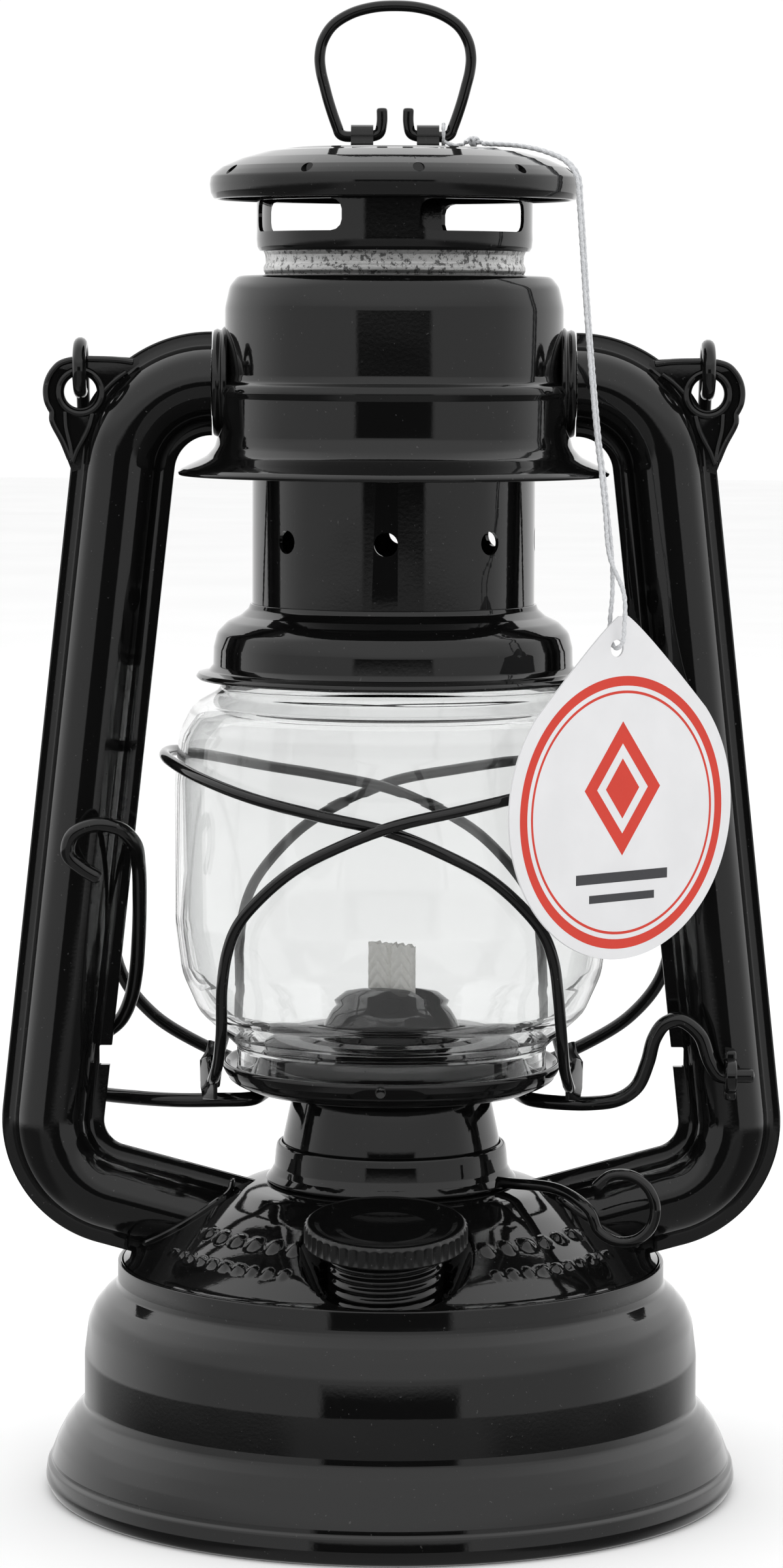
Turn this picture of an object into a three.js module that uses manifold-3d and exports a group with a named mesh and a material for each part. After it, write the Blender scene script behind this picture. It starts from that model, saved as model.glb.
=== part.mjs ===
// A small cold-blast tubular lantern in millimetres, +Z up, standing on the rolled rim of its base.
// The axis of the lantern is the Z axis, the front (fuel cap) faces -Y and the air tubes lie along X.
import * as THREE from 'three';
import { mergeVertices } from 'three/addons/utils/BufferGeometryUtils.js';
import Module from 'manifold-3d';

const wasm = await Module();
wasm.setup();

// Driving dimensions
const SHEET = 0.8; // sheet steel, drawn a little thicker than the real 0.4
const GAP = 0.35; // between pieces that touch
const SEGMENTS = 24; // round a turned piece
const BASE_RADIUS = 66.3;
const TANK_RADIUS = 58.8;
const LIP_RADIUS = 52.4;
const LIP_TOP = 44.3;
const DOME_TOP = 59.1;
const PLATE_RADIUS = 32.2;
const GLOBE_RADIUS = 41.5;
const GLASS = 1.5;
const GUARD_RADIUS = 44.2;
const CAP_RADIUS = 34.1;
const CHIMNEY_RADIUS = 26.8;
const SLEEVE_RADIUS = 24.4;
const CHAMBER_RADIUS = 32.0;
const SKIRT_RADIUS = 40.7;
const HOOD_RADIUS = 35.0;
const RING_AXIS_Z = 257.7;

// Air tubes: a straight run between two bends, in the XZ plane
const TUBE_RADIUS = 7.0;
const TUBE_WALL = 0.9;
const FLANGE_OUT = 9.9;
const FLANGE_IN = 9.6;
const TUBE_START_X = 34.5;
const TOP_BEND = { x: 34.5, z: 194.4, radius: 17 };
const LOW_BEND = { x: 50, z: 70.5, radius: 15 };
const TUBE_LEAN = THREE.MathUtils.degToRad(6.5);
const LEG_SLOPE = THREE.MathUtils.degToRad(15);
const LEG_LENGTH = 18;
const SOCKET_Z = TOP_BEND.z + TOP_BEND.radius;
const EAR = { x: 59.3, z: 209.6, radius: 7.1, hole: 3.1 };

// Wires
const LIFTER_WIRE = 1.4;
const GUARD_WIRE = 1.0;
const BAIL_WIRE = 1.3;
const RING_WIRE = 1.05;
const KNOB_WIRE = 1.05;

// Lifter, bail, fuel cap, knob, tag and string
const LIFTER_AXIS = { y: -9.8, z: 81 };
const BAIL_AXIS_Z = 214.1;
const BAIL_LEAN = THREE.MathUtils.degToRad(19);
const BAIL_EYE = 4.5;
const FILLER = { x: -0.9, y: -38.6, z: 44.2, tilt: THREE.MathUtils.degToRad(9) };
const THREAD_PITCH = 1.9;
const KNOB_AZIMUTH = THREE.MathUtils.degToRad(54);
const KNOB_OFFSET = 3.6;
const KNOB_Z = 60.5;
const TAG = { azimuth: THREE.MathUtils.degToRad(40), distance: 46, across: 16.9, z: 133, radius: 27.9 };
const TAG_HOLE = { across: 15.3, z: 163.1 };
const STRING_RADIUS = 0.45;
const STRAND_OFFSET = 0.65;

const ENAMEL = { color: 0x0b0b0c, roughness: 0.08, metalness: 0.1 };
const BARE_STEEL = { color: 0xb4b2ac, roughness: 0.35, metalness: 1 };
const GLASS_LOOK = { color: 0xf4f8f8, roughness: 0.02, metalness: 0 };
const COTTON = { color: 0xe9e4d6, roughness: 0.95, metalness: 0 };
const CORK = { color: 0xb98a5a, roughness: 0.9, metalness: 0 };
const CARD = { color: 0xf3f3f1, roughness: 0.6, metalness: 0 };
const TWINE = { color: 0xc9cacb, roughness: 0.8, metalness: 0 };

const lantern = new THREE.Group();

function addPiece(name, geometry, look, parent = lantern) {
  const mesh = new THREE.Mesh(geometry, new THREE.MeshStandardMaterial(look));
  mesh.name = name;
  parent.add(mesh);
  return mesh;
}

// Merges shared vertices, drops collapsed triangles and turns the faces outwards.
function weld(geometry) {
  const bare = geometry.clone();
  bare.deleteAttribute('normal');
  bare.deleteAttribute('uv');
  const merged = mergeVertices(bare, 1e-4);
  const from = merged.index.array;
  const position = merged.attributes.position;
  const [a, b, c] = [new THREE.Vector3(), new THREE.Vector3(), new THREE.Vector3()];
  const index = [];
  let volume = 0;
  for (let i = 0; i < from.length; i += 3) {
    const corner = [from[i], from[i + 1], from[i + 2]];
    if (new Set(corner).size < 3) continue;
    index.push(...corner);
    a.fromBufferAttribute(position, corner[0]);
    b.fromBufferAttribute(position, corner[1]);
    c.fromBufferAttribute(position, corner[2]);
    volume += a.dot(b.cross(c));
  }
  if (volume < 0) index.reverse();
  merged.setIndex(index);
  return merged;
}

function toSolid(geometry) {
  const welded = weld(geometry);
  const vertProperties = new Float32Array(welded.attributes.position.array);
  const triVerts = new Uint32Array(welded.index.array);
  return new wasm.Manifold(new wasm.Mesh({ numProp: 3, vertProperties, triVerts }));
}

function toGeometry(solid) {
  const mesh = solid.getMesh();
  const geometry = new THREE.BufferGeometry();
  geometry.setAttribute('position', new THREE.BufferAttribute(mesh.vertProperties, 3));
  geometry.setIndex(new THREE.BufferAttribute(mesh.triVerts, 1));
  return geometry;
}

function cut(geometry, ...cutters) {
  return toGeometry(cutters.reduce((left, cutter) => left.subtract(toSolid(cutter)), toSolid(geometry)));
}

function join(...geometries) {
  return toGeometry(geometries.map(toSolid).reduce((whole, piece) => whole.add(piece)));
}

// A closed outline of [radius, height] pairs turned about the Z axis.
function turned(outline, segments = SEGMENTS) {
  const points = outline.map(([radius, height]) => new THREE.Vector2(radius, height));
  points.push(points[0].clone());
  return weld(new THREE.LatheGeometry(points, segments).rotateX(Math.PI / 2));
}

function turnedAlongX(outline, segments, x, z) {
  return turned(outline, segments).rotateY(Math.PI / 2).translate(x, 0, z);
}

function bar(radius, length, segments = 12) {
  return new THREE.CylinderGeometry(radius, radius, length, segments).rotateX(Math.PI / 2);
}

function block(width, depth, height, x, y, z) {
  return new THREE.BoxGeometry(width, depth, height).translate(x, y, z);
}

function mirrored(geometry) {
  return weld(geometry.clone().scale(-1, 1, 1));
}

// A route swept one step per point, whose section keeps its first side vector as nearly as it can.
class Route extends THREE.CatmullRomCurve3 {
  constructor(points, side) {
    super(points);
    this.side = side;
  }

  getSpacedPoints() {
    return this.points;
  }

  computeFrenetFrames() {
    const last = this.points.length - 1;
    const frames = { tangents: [], normals: [], binormals: [] };
    let side = this.side.clone();
    this.points.forEach((point, i) => {
      const before = this.points[Math.max(i - 1, 0)];
      const after = this.points[Math.min(i + 1, last)];
      const toNext = after.clone().sub(point).normalize();
      const fromLast = point.clone().sub(before).normalize();
      const tangent = toNext.add(fromLast).normalize();
      side = side.clone().addScaledVector(tangent, -side.dot(tangent)).normalize();
      frames.tangents.push(tangent);
      frames.normals.push(side);
      frames.binormals.push(tangent.clone().cross(side));
    });
    return frames;
  }
}

function sweep(shape, points, side) {
  const path = new Route(points, side);
  return weld(new THREE.ExtrudeGeometry(shape, { steps: points.length - 1, extrudePath: path }));
}

function roundShape(radius, sides) {
  return new THREE.Shape(new THREE.EllipseCurve(0, 0, radius, radius).getPoints(sides).slice(0, sides));
}

// A round wire through hand-placed points.
function wire(points, radius, side, stepsPerSpan = 1, sides = 6) {
  const route = new THREE.CatmullRomCurve3(points.map((p) => new THREE.Vector3(...p)), false, 'centripetal');
  return sweep(roundShape(radius, sides), route.getPoints((points.length - 1) * stepsPerSpan), side);
}

function arcPoints(centre, radius, from, to, steps) {
  const curve = new THREE.EllipseCurve(centre.x, centre.z, radius, radius, from, to, to < from);
  return curve.getPoints(steps).map((p) => new THREE.Vector3(p.x, 0, p.y));
}

// ---- Tank -------------------------------------------------------------------------------------

const domeOutline = [[51.2, LIP_TOP - 0.4], [46, 47.9], [40, 51.7], [34, 55.5], [28.6, 58.5], [24.6, DOME_TOP]];

function filledDome(margin) {
  const raised = domeOutline.map(([radius, height]) => [radius + margin * 0.6, height + margin]);
  return turned([[0, 41.9], [51.2 + margin * 0.6, 41.9], ...raised, [0, DOME_TOP + margin]]);
}

function inFillerFrame(geometry) {
  return geometry.rotateX(FILLER.tilt).translate(FILLER.x, FILLER.y, FILLER.z);
}

function legCutter(radius) {
  const leg = bar(radius, 60).rotateX(Math.PI / 2).rotateZ(Math.PI / 2);
  leg.applyMatrix4(new THREE.Matrix4().makeRotationY(-LEG_SLOPE));
  return leg.translate(49, 0, 54.7);
}

function tankShell() {
  return turned([
    [62.2, 0], [65, 0], [BASE_RADIUS, 1.6], [BASE_RADIUS, 3.6], [65.3, 7.2], [63.6, 9.7], [62.4, 12.2],
    [60.6, 14.7], [TANK_RADIUS, 16.6], [TANK_RADIUS, 26], [58, 32.4], [56.8, 35], [54.8, 37.4],
    [LIP_RADIUS, 39.8], [LIP_RADIUS, LIP_TOP], [51.6, LIP_TOP], [51.6, 39.4], [55.9, 34.4], [57.7, 29.5],
    [57.9, 16.2], [61.4, 11.9], [64.2, 6.9], [64.2, 4.4], [62.2, 4.4],
  ]);
}

function tankDome() {
  const inner = domeOutline.map(([radius, height]) => [radius - 0.7, height - SHEET]);
  const shell = turned([
    [50.5, 41.9], [51.2, 41.9], ...domeOutline, [19.4, DOME_TOP], [19.4, DOME_TOP - SHEET], ...inner.reverse(),
  ]);
  const pocket = inFillerFrame(turned([[0, 0], [13.5, 0], [16.3, 8], [16.3, 30], [0, 30]]));
  const cup = inFillerFrame(turned([[0, -1], [14.4, -1], [17.2, 8], [17.2, 30], [0, 30]]));
  const neckHole = inFillerFrame(bar(11.15, 12, 24));
  const wall = toSolid(cup).intersect(toSolid(filledDome(0)));
  const whole = toSolid(shell).add(wall).subtract(toSolid(pocket)).subtract(toSolid(neckHole));
  const drained = whole.subtract(toSolid(legCutter(5.6))).subtract(toSolid(mirrored(legCutter(5.6))));
  return toGeometry(drained);
}

addPiece('tank_shell', tankShell(), ENAMEL);
addPiece('tank_bottom', turned([[0, 3], [58, 2.2], [61.8, 2.2], [61.8, 3.2], [58, 3.2], [0, 4]]), ENAMEL);
addPiece('tank_dome', tankDome(), ENAMEL);

const tankTopPlate = turned([[7.6, 40.6], [51.2, 40.6], [51.2, 41.5], [7.6, 41.5]]);
addPiece('tank_top', cut(tankTopPlate, inFillerFrame(bar(11.2, 16, 24))), ENAMEL);

// ---- Filler neck, gasket and cap, all on the tilted filler axis ---------------------------------

const filler = new THREE.Group();
filler.position.set(FILLER.x, FILLER.y, FILLER.z);
filler.rotation.x = FILLER.tilt;
lantern.add(filler);

function fillerNeck() {
  const outline = [[9.4, -4.2], [10.3, -4.2]];
  for (let crest = 1.3; crest < 10; crest += THREAD_PITCH) {
    outline.push([10.3, crest - THREAD_PITCH / 2], [10.8, crest]);
  }
  return turned([...outline, [10.3, 11.6], [9.4, 11.6]], 16);
}

addPiece('filler_neck', fillerNeck(), ENAMEL, filler);
addPiece('filler_gasket', turned([[8.6, 11.95], [10.9, 11.95], [10.9, 12.65], [8.6, 12.65]], 16), CORK, filler);
addPiece('fuel_cap', turned([
  [0, 13], [11.3, 13], [11.3, 10.2], [14.7, 10.2], [15.1, 10.7], [15.1, 13.9], [14.5, 14.4], [12.9, 14.4],
  [11.6, 13.75], [0, 13.75],
]), ENAMEL, filler);

// ---- Burner, wick and knob ---------------------------------------------------------------------

const knobWay = new THREE.Vector3(Math.sin(KNOB_AZIMUTH), -Math.cos(KNOB_AZIMUTH), 0);
const knobSide = new THREE.Vector3(Math.cos(KNOB_AZIMUTH), Math.sin(KNOB_AZIMUTH), 0);

function alongKnob(distance, rise = 0) {
  const place = knobWay.clone().multiplyScalar(distance).addScaledVector(knobSide, KNOB_OFFSET);
  return [place.x, place.y, KNOB_Z + rise];
}

function turnedToKnob(geometry) {
  return geometry.rotateZ(KNOB_AZIMUTH - Math.PI / 2);
}

function knobHole(radius) {
  const hole = bar(radius, 14).rotateY(Math.PI / 2).translate(21, KNOB_OFFSET, KNOB_Z);
  return turnedToKnob(hole);
}

addPiece('burner_collar', cut(turned([
  [19.9, 59.45], [23.9, 59.45], [23.3, 60.7], [22.5, 61.7], [22.4, 65.3], [21.9, 66.1], [20.9, 66.1],
  [20.9, 61.5], [19.9, 60.7],
]), knobHole(1.5)), ENAMEL);
addPiece('burner_base', cut(turned([
  [7.4, 52], [18.8, 52], [18.8, 66.2], [18, 66.2], [18, 53], [7.4, 53],
], 24), knobHole(1.5)), BARE_STEEL);
addPiece('burner_cone', turned([
  [20.6, 66.5], [20.9, 67.4], [19.6, 72.5], [19.2, 74.8], [15.5, 80], [14, 83.5], [13.2, 83.5], [14.7, 79.8],
  [18.4, 74.2], [19.8, 67.4],
]), ENAMEL);
addPiece('burner_plate', turned([[7.6, 71.6], [18.2, 71.6], [18.2, 72.3], [7.6, 72.3]], 24), BARE_STEEL);

function burnerDome() {
  const dome = turned([
    [13.2, 84], [13.2, 87.4], [11.9, 91.2], [8.8, 94.4], [5, 96], [0, 96.3], [0, 95.6],
    [4.8, 95.3], [8.3, 93.9], [11.3, 90.9], [12.5, 87.4], [12.5, 84],
  ], 16);
  return cut(dome, turnedToKnob(block(40, 4.6, 16, 0, 0, 88.6 + 8)));
}
addPiece('burner_dome', burnerDome(), ENAMEL);

function wickTube() {
  const tube = cut(block(13.4, 4.3, 49, 0, 0, 68.5), block(12.2, 3, 60, 0, 0, 68.5));
  return turnedToKnob(cut(tube, block(9.6, 3, 6, 0, 2.2, KNOB_Z)));
}
addPiece('wick_tube', wickTube(), BARE_STEEL);
addPiece('wick', turnedToKnob(block(11, 2, 86.2, 0, 0, 61.1)), COTTON);

function wickWheel(distance) {
  const wheel = turned([[1.4, -0.8], [2.2, -0.8], [2.2, 0.8], [1.4, 0.8]], 16).rotateY(Math.PI / 2);
  return turnedToKnob(wheel.translate(distance, KNOB_OFFSET, KNOB_Z));
}
addPiece('wick_wheel_inner', wickWheel(-2.6), BARE_STEEL);
addPiece('wick_wheel_outer', wickWheel(2.6), BARE_STEEL);

function knobShaft() {
  const centre = { x: 43.2, y: -26.5, z: 58.5 };
  const loop = { radius: 6.4, start: 188, sweep: 318, steps: 9 };
  const points = [alongKnob(-5), alongKnob(8), alongKnob(24), alongKnob(36.5)];
  for (let i = 0; i <= loop.steps; i += 1) {
    const angle = THREE.MathUtils.degToRad(loop.start + (loop.sweep * i) / loop.steps);
    const across = loop.radius * Math.cos(angle);
    points.push([centre.x + 0.95 * across, centre.y - 0.31 * across, centre.z + loop.radius * Math.sin(angle)]);
  }
  return wire(points, KNOB_WIRE, new THREE.Vector3(0.31, 0.95, 0), 2);
}
addPiece('wick_knob', knobShaft(), ENAMEL);

// ---- Air tubes with their seam flanges and bail ears ------------------------------------------

function tubeRoute() {
  const right = TUBE_LEAN;
  const top = arcPoints(TOP_BEND, TOP_BEND.radius, Math.PI / 2, right, 6);
  const low = arcPoints(LOW_BEND, LOW_BEND.radius, right, LEG_SLOPE - Math.PI / 2, 6);
  const end = low[low.length - 1];
  const leg = new THREE.Vector3(-Math.cos(LEG_SLOPE), 0, -Math.sin(LEG_SLOPE)).multiplyScalar(LEG_LENGTH);
  const lead = new THREE.Vector3(TUBE_START_X - 1.5, 0, SOCKET_Z);
  return [lead, ...top, ...low, end.clone().add(leg)];
}

// Half of the tube's section: x runs towards the front or the back, y away from the bends.
function halfTubeShape() {
  const seam = 0.15;
  const flange = 0.95;
  const inner = TUBE_RADIUS - TUBE_WALL;
  const outerAngle = Math.asin(flange / TUBE_RADIUS);
  const innerAngle = Math.asin(seam / inner);
  const shape = new THREE.Shape();
  shape.moveTo(seam, FLANGE_OUT);
  shape.lineTo(seam, inner);
  shape.absarc(0, 0, inner, Math.PI / 2 - innerAngle, innerAngle - Math.PI / 2, true);
  shape.lineTo(seam, -FLANGE_IN);
  shape.lineTo(flange, -FLANGE_IN);
  shape.lineTo(flange, -TUBE_RADIUS);
  shape.absarc(0, 0, TUBE_RADIUS, outerAngle - Math.PI / 2, Math.PI / 2 - outerAngle, false);
  shape.lineTo(flange, FLANGE_OUT);
  const points = shape.extractPoints(2).shape;
  return new THREE.Shape(points);
}

function earPlate() {
  const shape = new THREE.Shape();
  shape.absarc(EAR.x, EAR.z, EAR.radius, THREE.MathUtils.degToRad(-35), THREE.MathUtils.degToRad(56), false);
  shape.lineTo(48.5, 216);
  shape.lineTo(46.5, 211);
  shape.lineTo(56, 196);
  shape.lineTo(60.4, 196);
  const plate = new THREE.ExtrudeGeometry(shape, { depth: 0.8, steps: 1, bevelEnabled: false, curveSegments: 3 });
  return plate.rotateX(Math.PI / 2).translate(0, -0.15, 0);
}

function frontHalf() {
  const half = sweep(halfTubeShape(), tubeRoute(), new THREE.Vector3(0, -1, 0));
  const inside = sweep(roundShape(TUBE_RADIUS - TUBE_WALL, 12), tubeRoute(), new THREE.Vector3(0, -1, 0));
  const ear = toSolid(earPlate()).subtract(toSolid(inside));
  const hole = bar(EAR.hole, 8, 10).rotateX(Math.PI / 2).translate(EAR.x, 0, EAR.z);
  const notch = block(4, 4, 3.8, 53.6, 0, 83.1);
  const squareEnd = block(4, 30, 30, TUBE_START_X - 2, 0, SOCKET_Z);
  const joined = [hole, notch, squareEnd].reduce((left, cutter) => left.subtract(toSolid(cutter)),
    toSolid(half).add(ear));
  return toGeometry(joined.subtract(toSolid(filledDome(GAP))));
}

const rightFront = frontHalf();
const rightRear = weld(rightFront.clone().scale(1, -1, 1));
addPiece('side_tube_right_front', rightFront, ENAMEL);
addPiece('side_tube_right_rear', rightRear, ENAMEL);
addPiece('side_tube_left_front', mirrored(rightFront), ENAMEL);
addPiece('side_tube_left_rear', mirrored(rightRear), ENAMEL);

// ---- Air chamber with its tube sockets ---------------------------------------------------------

const chamberOuter = [
  [SKIRT_RADIUS, 194.2], [40.4, 195.1], [35.2, 197.8], [33.5, 199.8], [33.1, 209.3], [32.3, 211.3],
  [CHAMBER_RADIUS, 213], [31.7, 227], [30.6, 230.6], [28.5, 231.7], [25.4, 231.7],
];
const chamberInner = [
  [25.4, 230.9], [28.2, 230.9], [29.9, 229.8], [30.9, 226.6], [31.2, 213], [32.3, 208.6], [32.6, 200],
  [34.8, 197], [40, 194.2],
];

const airWay = bar(TUBE_RADIUS - TUBE_WALL, 90, 10).rotateY(Math.PI / 2).translate(0, 0, SOCKET_Z);
addPiece('air_chamber', cut(turned([...chamberOuter, ...chamberInner]), airWay), ENAMEL);

function tubeSocket() {
  const ring = turnedAlongX([[6.3, 28], [10.2, 28], [10.2, 33.6], [9.8, 34.1], [6.3, 34.1]], 16, 0, SOCKET_Z);
  const keepOut = turned([[0, 190], ...chamberOuter.slice(3, 8).map(([r, z]) => [r + GAP, z]), [0, 230]]);
  return cut(ring, keepOut);
}
addPiece('tube_socket_right', tubeSocket(), ENAMEL);
addPiece('tube_socket_left', mirrored(tubeSocket()), ENAMEL);

function chimneySpring() {
  const coil = { radius: 28.8, wire: 0.7, turns: 3.5, low: 199.9, high: 229.2, steps: 36 };
  const points = [];
  for (let i = 0; i <= coil.steps; i += 1) {
    const angle = (coil.turns * 2 * Math.PI * i) / coil.steps;
    const height = coil.low + ((coil.high - coil.low) * i) / coil.steps;
    points.push(new THREE.Vector3(coil.radius * Math.cos(angle), coil.radius * Math.sin(angle), height));
  }
  return sweep(roundShape(coil.wire, 6), points, new THREE.Vector3(0, 0, 1));
}
addPiece('chimney_spring', chimneySpring(), BARE_STEEL);

// ---- Globe plate, guard wires and globe ---------------------------------------------------------

addPiece('globe_plate', turned([
  [14.2, 86.4], [22.4, 86.4], [25, 80.4], [26.2, 79.6], [31.3, 79.6], [31.3, 77.7], [24.4, 77.7],
  [24.4, 76.9], [31.6, 76.9], [PLATE_RADIUS, 77.4], [PLATE_RADIUS, 82.3], [31, 82.3], [30.6, 80.4], [26.8, 80.4],
  [24.6, 85.6], [22.8, 87.2], [14.2, 87.2],
]), ENAMEL);
const tab = block(1.8, 17, 3.6, PLATE_RADIUS + GAP + 0.9, 0, 79.8);
addPiece('plate_tab_right', tab, ENAMEL);
addPiece('plate_tab_left', mirrored(tab), ENAMEL);

// The rise of a hoop, as [degrees from the front towards the far side, height].
const hoopRise = [
  [-45.3, 100], [-43.6, 106.6], [-40.2, 112], [-33.8, 117.2], [-24, 123.2], [-13.6, 127.5], [0, 131.8],
  [18, 134.7], [36, 137.2], [56, 140.1], [74, 142], [90, 142.4],
];

function guardWire(hoopRadius, crossingRadius) {
  const front = [[-33.9, -9.6, 79.8], [-34.4, -13.5, 80], [-33.9, -20, 83], [-32.5, -28.2, 90]];
  hoopRise.forEach(([azimuth, height]) => {
    const angle = THREE.MathUtils.degToRad(azimuth);
    const radius = azimuth === 0 ? crossingRadius : hoopRadius;
    front.push([radius * Math.sin(angle), -radius * Math.cos(angle), height]);
  });
  const back = front.slice(0, -1).reverse().map(([x, y, z]) => [x, -y, z]);
  return wire([...front, ...back], GUARD_WIRE, new THREE.Vector3(0.3, 0, 1), 2);
}

// The two hoops cross at the front and the back, one riding just outside the other.
addPiece('guard_wire_outer', guardWire(GUARD_RADIUS, GUARD_RADIUS + 1.2), ENAMEL);
addPiece('guard_wire_inner', mirrored(guardWire(43.4, 43)).translate(0, 0, -1.4), ENAMEL);

addPiece('globe', turned([
  [28.1, 81], [29.6, 81], [29.6, 85.8], [36.8, 92.2], [40.4, 100], [GLOBE_RADIUS, 110.5], [GLOBE_RADIUS, 136],
  [40.7, 145], [38, 150.4], [32.4, 153.6], [32.2, 162], [32.2 - GLASS, 162], [32.2 - GLASS, 153.2],
  [37, 149.1], [39.2, 144.4], [GLOBE_RADIUS - GLASS, 136], [GLOBE_RADIUS - GLASS, 110.5], [38.9, 100.6],
  [35.6, 93.4], [28.1, 86.6],
]), GLASS_LOOK);

// ---- Lifter -------------------------------------------------------------------------------------

const lifterRight = [
  [68.8, -9.8, 81], [66, -9.8, 81], [62.3, -9.8, 81], [60.4, -9.9, 83.6], [58.4, -10, 88.8], [54.7, -10, 91.6],
  [51.8, -9.9, 90.9], [49.8, -9.6, 88], [48.6, -9.2, 83.4], [46.6, -8.6, 78.6], [43.2, -7.6, 76], [38, -6.4, 75],
  [32, -4.5, 74.8], [27, -1, 74.8],
];
const lifterBehind = [
  [24.8, 5, 74.9], [23.6, 12, 75], [19, 19.6, 75], [10, 24.6, 75], [0, 26, 75], [-10, 24.6, 75], [-19, 19.6, 75],
  [-23.6, 12, 75], [-24.8, 5, 74.9],
];
const lifterLeft = [
  [-27, 0, 74.6], [-33, 0.4, 74.3], [-42, 2.6, 73.9], [-51, 7.4, 73.7], [-57, 10.9, 73.8], [-62, 11.3, 74.8],
  [-64.2, 11.3, 78.2], [-62, 11.2, 82], [-57, 10.9, 84.8], [-52.6, 9.6, 88.2], [-50.4, 8, 92.8],
  [-49.3, 6.2, 98], [-48.6, 3.2, 105.4], [-48.2, -0.8, 113], [-48.1, -5.5, 120], [-48.7, -10.4, 125],
  [-51.6, -12.8, 128], [-56, -13.2, 128.6], [-60.2, -13, 126.6], [-61, -12.7, 123], [-58.4, -12.5, 120.4],
  [-55, -12.5, 118.4],
];
const lifterPoints = [...lifterRight, ...lifterBehind, ...lifterLeft];
addPiece('lifter', wire(lifterPoints, LIFTER_WIRE, new THREE.Vector3(0, 0, 1)), ENAMEL);

function lifterBracket() {
  const eye = turnedAlongX([[1.75, 63.3], [3.2, 63.3], [3.2, 65.3], [1.75, 65.3]], 16, 0, LIFTER_AXIS.z);
  const strip = block(2.2, 2.8, 10.4, 64.2, -9, LIFTER_AXIS.z);
  const bore = bar(1.75, 12, 16).rotateY(Math.PI / 2).translate(64, LIFTER_AXIS.y, LIFTER_AXIS.z);
  const whole = join(eye.translate(0, LIFTER_AXIS.y, 0), strip);
  return cut(whole, bore, sweptKeepOut());
}

function sweptKeepOut() {
  return sweep(roundShape(TUBE_RADIUS + GAP, 16), tubeRoute(), new THREE.Vector3(0, 1, 0));
}
addPiece('lifter_bracket', lifterBracket(), ENAMEL);

// ---- Chimney, cap and hood ----------------------------------------------------------------------

addPiece('globe_cap', turned([
  [37.2, 155.6], [37.3, 156.4], [34.6, 157.2], [CAP_RADIUS, 158.4], [33.7, 162.8], [32.8, 165.3],
  [28.4, 168.2], [27.3, 169.5], [26.5, 169.5], [27.7, 167.4], [32, 164.6], [33.2, 158], [34.2, 156.4],
]), ENAMEL);

function chimneyTube() {
  const tube = turned([
    [26, 169.9], [CHIMNEY_RADIUS, 169.9], [CHIMNEY_RADIUS, 197], [30.2, 197.4], [30.2, 198.6],
    [25, 198.6], [25, 197.8], [26, 197.8],
  ]);
  const holes = [-3, 42, 87, 132].map((azimuth) => {
    const hole = bar(2.2, 70, 8).rotateX(Math.PI / 2).translate(0, 0, 182.1);
    return hole.rotateZ(THREE.MathUtils.degToRad(azimuth));
  });
  return cut(tube, ...holes);
}
addPiece('chimney_tube', chimneyTube(), ENAMEL);
addPiece('chimney_sleeve', turned([
  [SLEEVE_RADIUS - SHEET, 190], [SLEEVE_RADIUS, 190], [SLEEVE_RADIUS, 236.4], [SLEEVE_RADIUS - SHEET, 236.4],
]), BARE_STEEL);

function hoodCollar() {
  const ring = turned([
    [25, 236.8], [25.4, 236.8], [26, 238.4], [26, 252.4], [25, 252.6],
  ]);
  const window = { width: 25, height: 5.7, low: 240.7, first: 39.2 };
  const cutters = [0, 90, 180, 270].map((turn) => {
    const opening = block(20, window.width, window.height, 22, 0, window.low + window.height / 2);
    return opening.rotateZ(THREE.MathUtils.degToRad(window.first + turn));
  });
  return cut(ring, ...cutters);
}
addPiece('hood_collar', hoodCollar(), ENAMEL);
addPiece('hood_disc', turned([
  [33.4, 246.4], [34.5, 247], [HOOD_RADIUS, 248.8], [34.4, 250.3], [32.9, 251.5], [27.4, 253.9], [22, 255],
  [0, 255.2], [0, 254.3], [22, 254.1], [27, 253], [33.4, 249.8], [34, 248.6], [33.2, 247.3],
]), ENAMEL);

function hoodStrap() {
  const strap = block(16.6, 8, 0.7, 0, 0, 255.95);
  const knuckle = turnedAlongX([[0, 4.1], [2.1, 4.1], [2.1, 8.3], [0, 8.3]], 12, 0, RING_AXIS_Z);
  const bore = bar(1.45, 30, 12).rotateY(Math.PI / 2).translate(0, 0, RING_AXIS_Z);
  return cut(join(strap, knuckle, mirrored(knuckle)), bore);
}
addPiece('hood_strap', hoodStrap(), ENAMEL);

const ringHalf = [
  [2.5, 0, 263], [2.5, 0, 260.2], [3, 0, 258.3], [4.4, 0, 257.7], [6.6, 0, 257.7], [9.5, 0, 257.7],
  [10.4, 0, 258.2], [10.9, 0, 259.4], [11.7, 0, 261.6], [12.6, 0, 264.4], [13.3, 0, 267], [14, 0, 269.9],
  [14.2, 0, 272.6], [13.6, 0, 275.5], [11.8, 0, 278.3], [8.4, 0, 280.5], [4.2, 0, 281.7],
];
const ringOther = ringHalf.map(([x, y, z]) => [-x, y, z]).reverse();
const ringPoints = [...ringHalf, [0, 0, 282], ...ringOther];
addPiece('lift_ring', wire(ringPoints, RING_WIRE, new THREE.Vector3(0, 1, 0)), ENAMEL);

// ---- Bail ---------------------------------------------------------------------------------------

// The arm as [distance along it, distance from the middle].
const bailArm = [[10, 59.2], [60, 58.6], [112, 56.8], [130, 54.4], [139, 48.5], [145, 40.5], [152, 26], [156, 11]];

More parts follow.
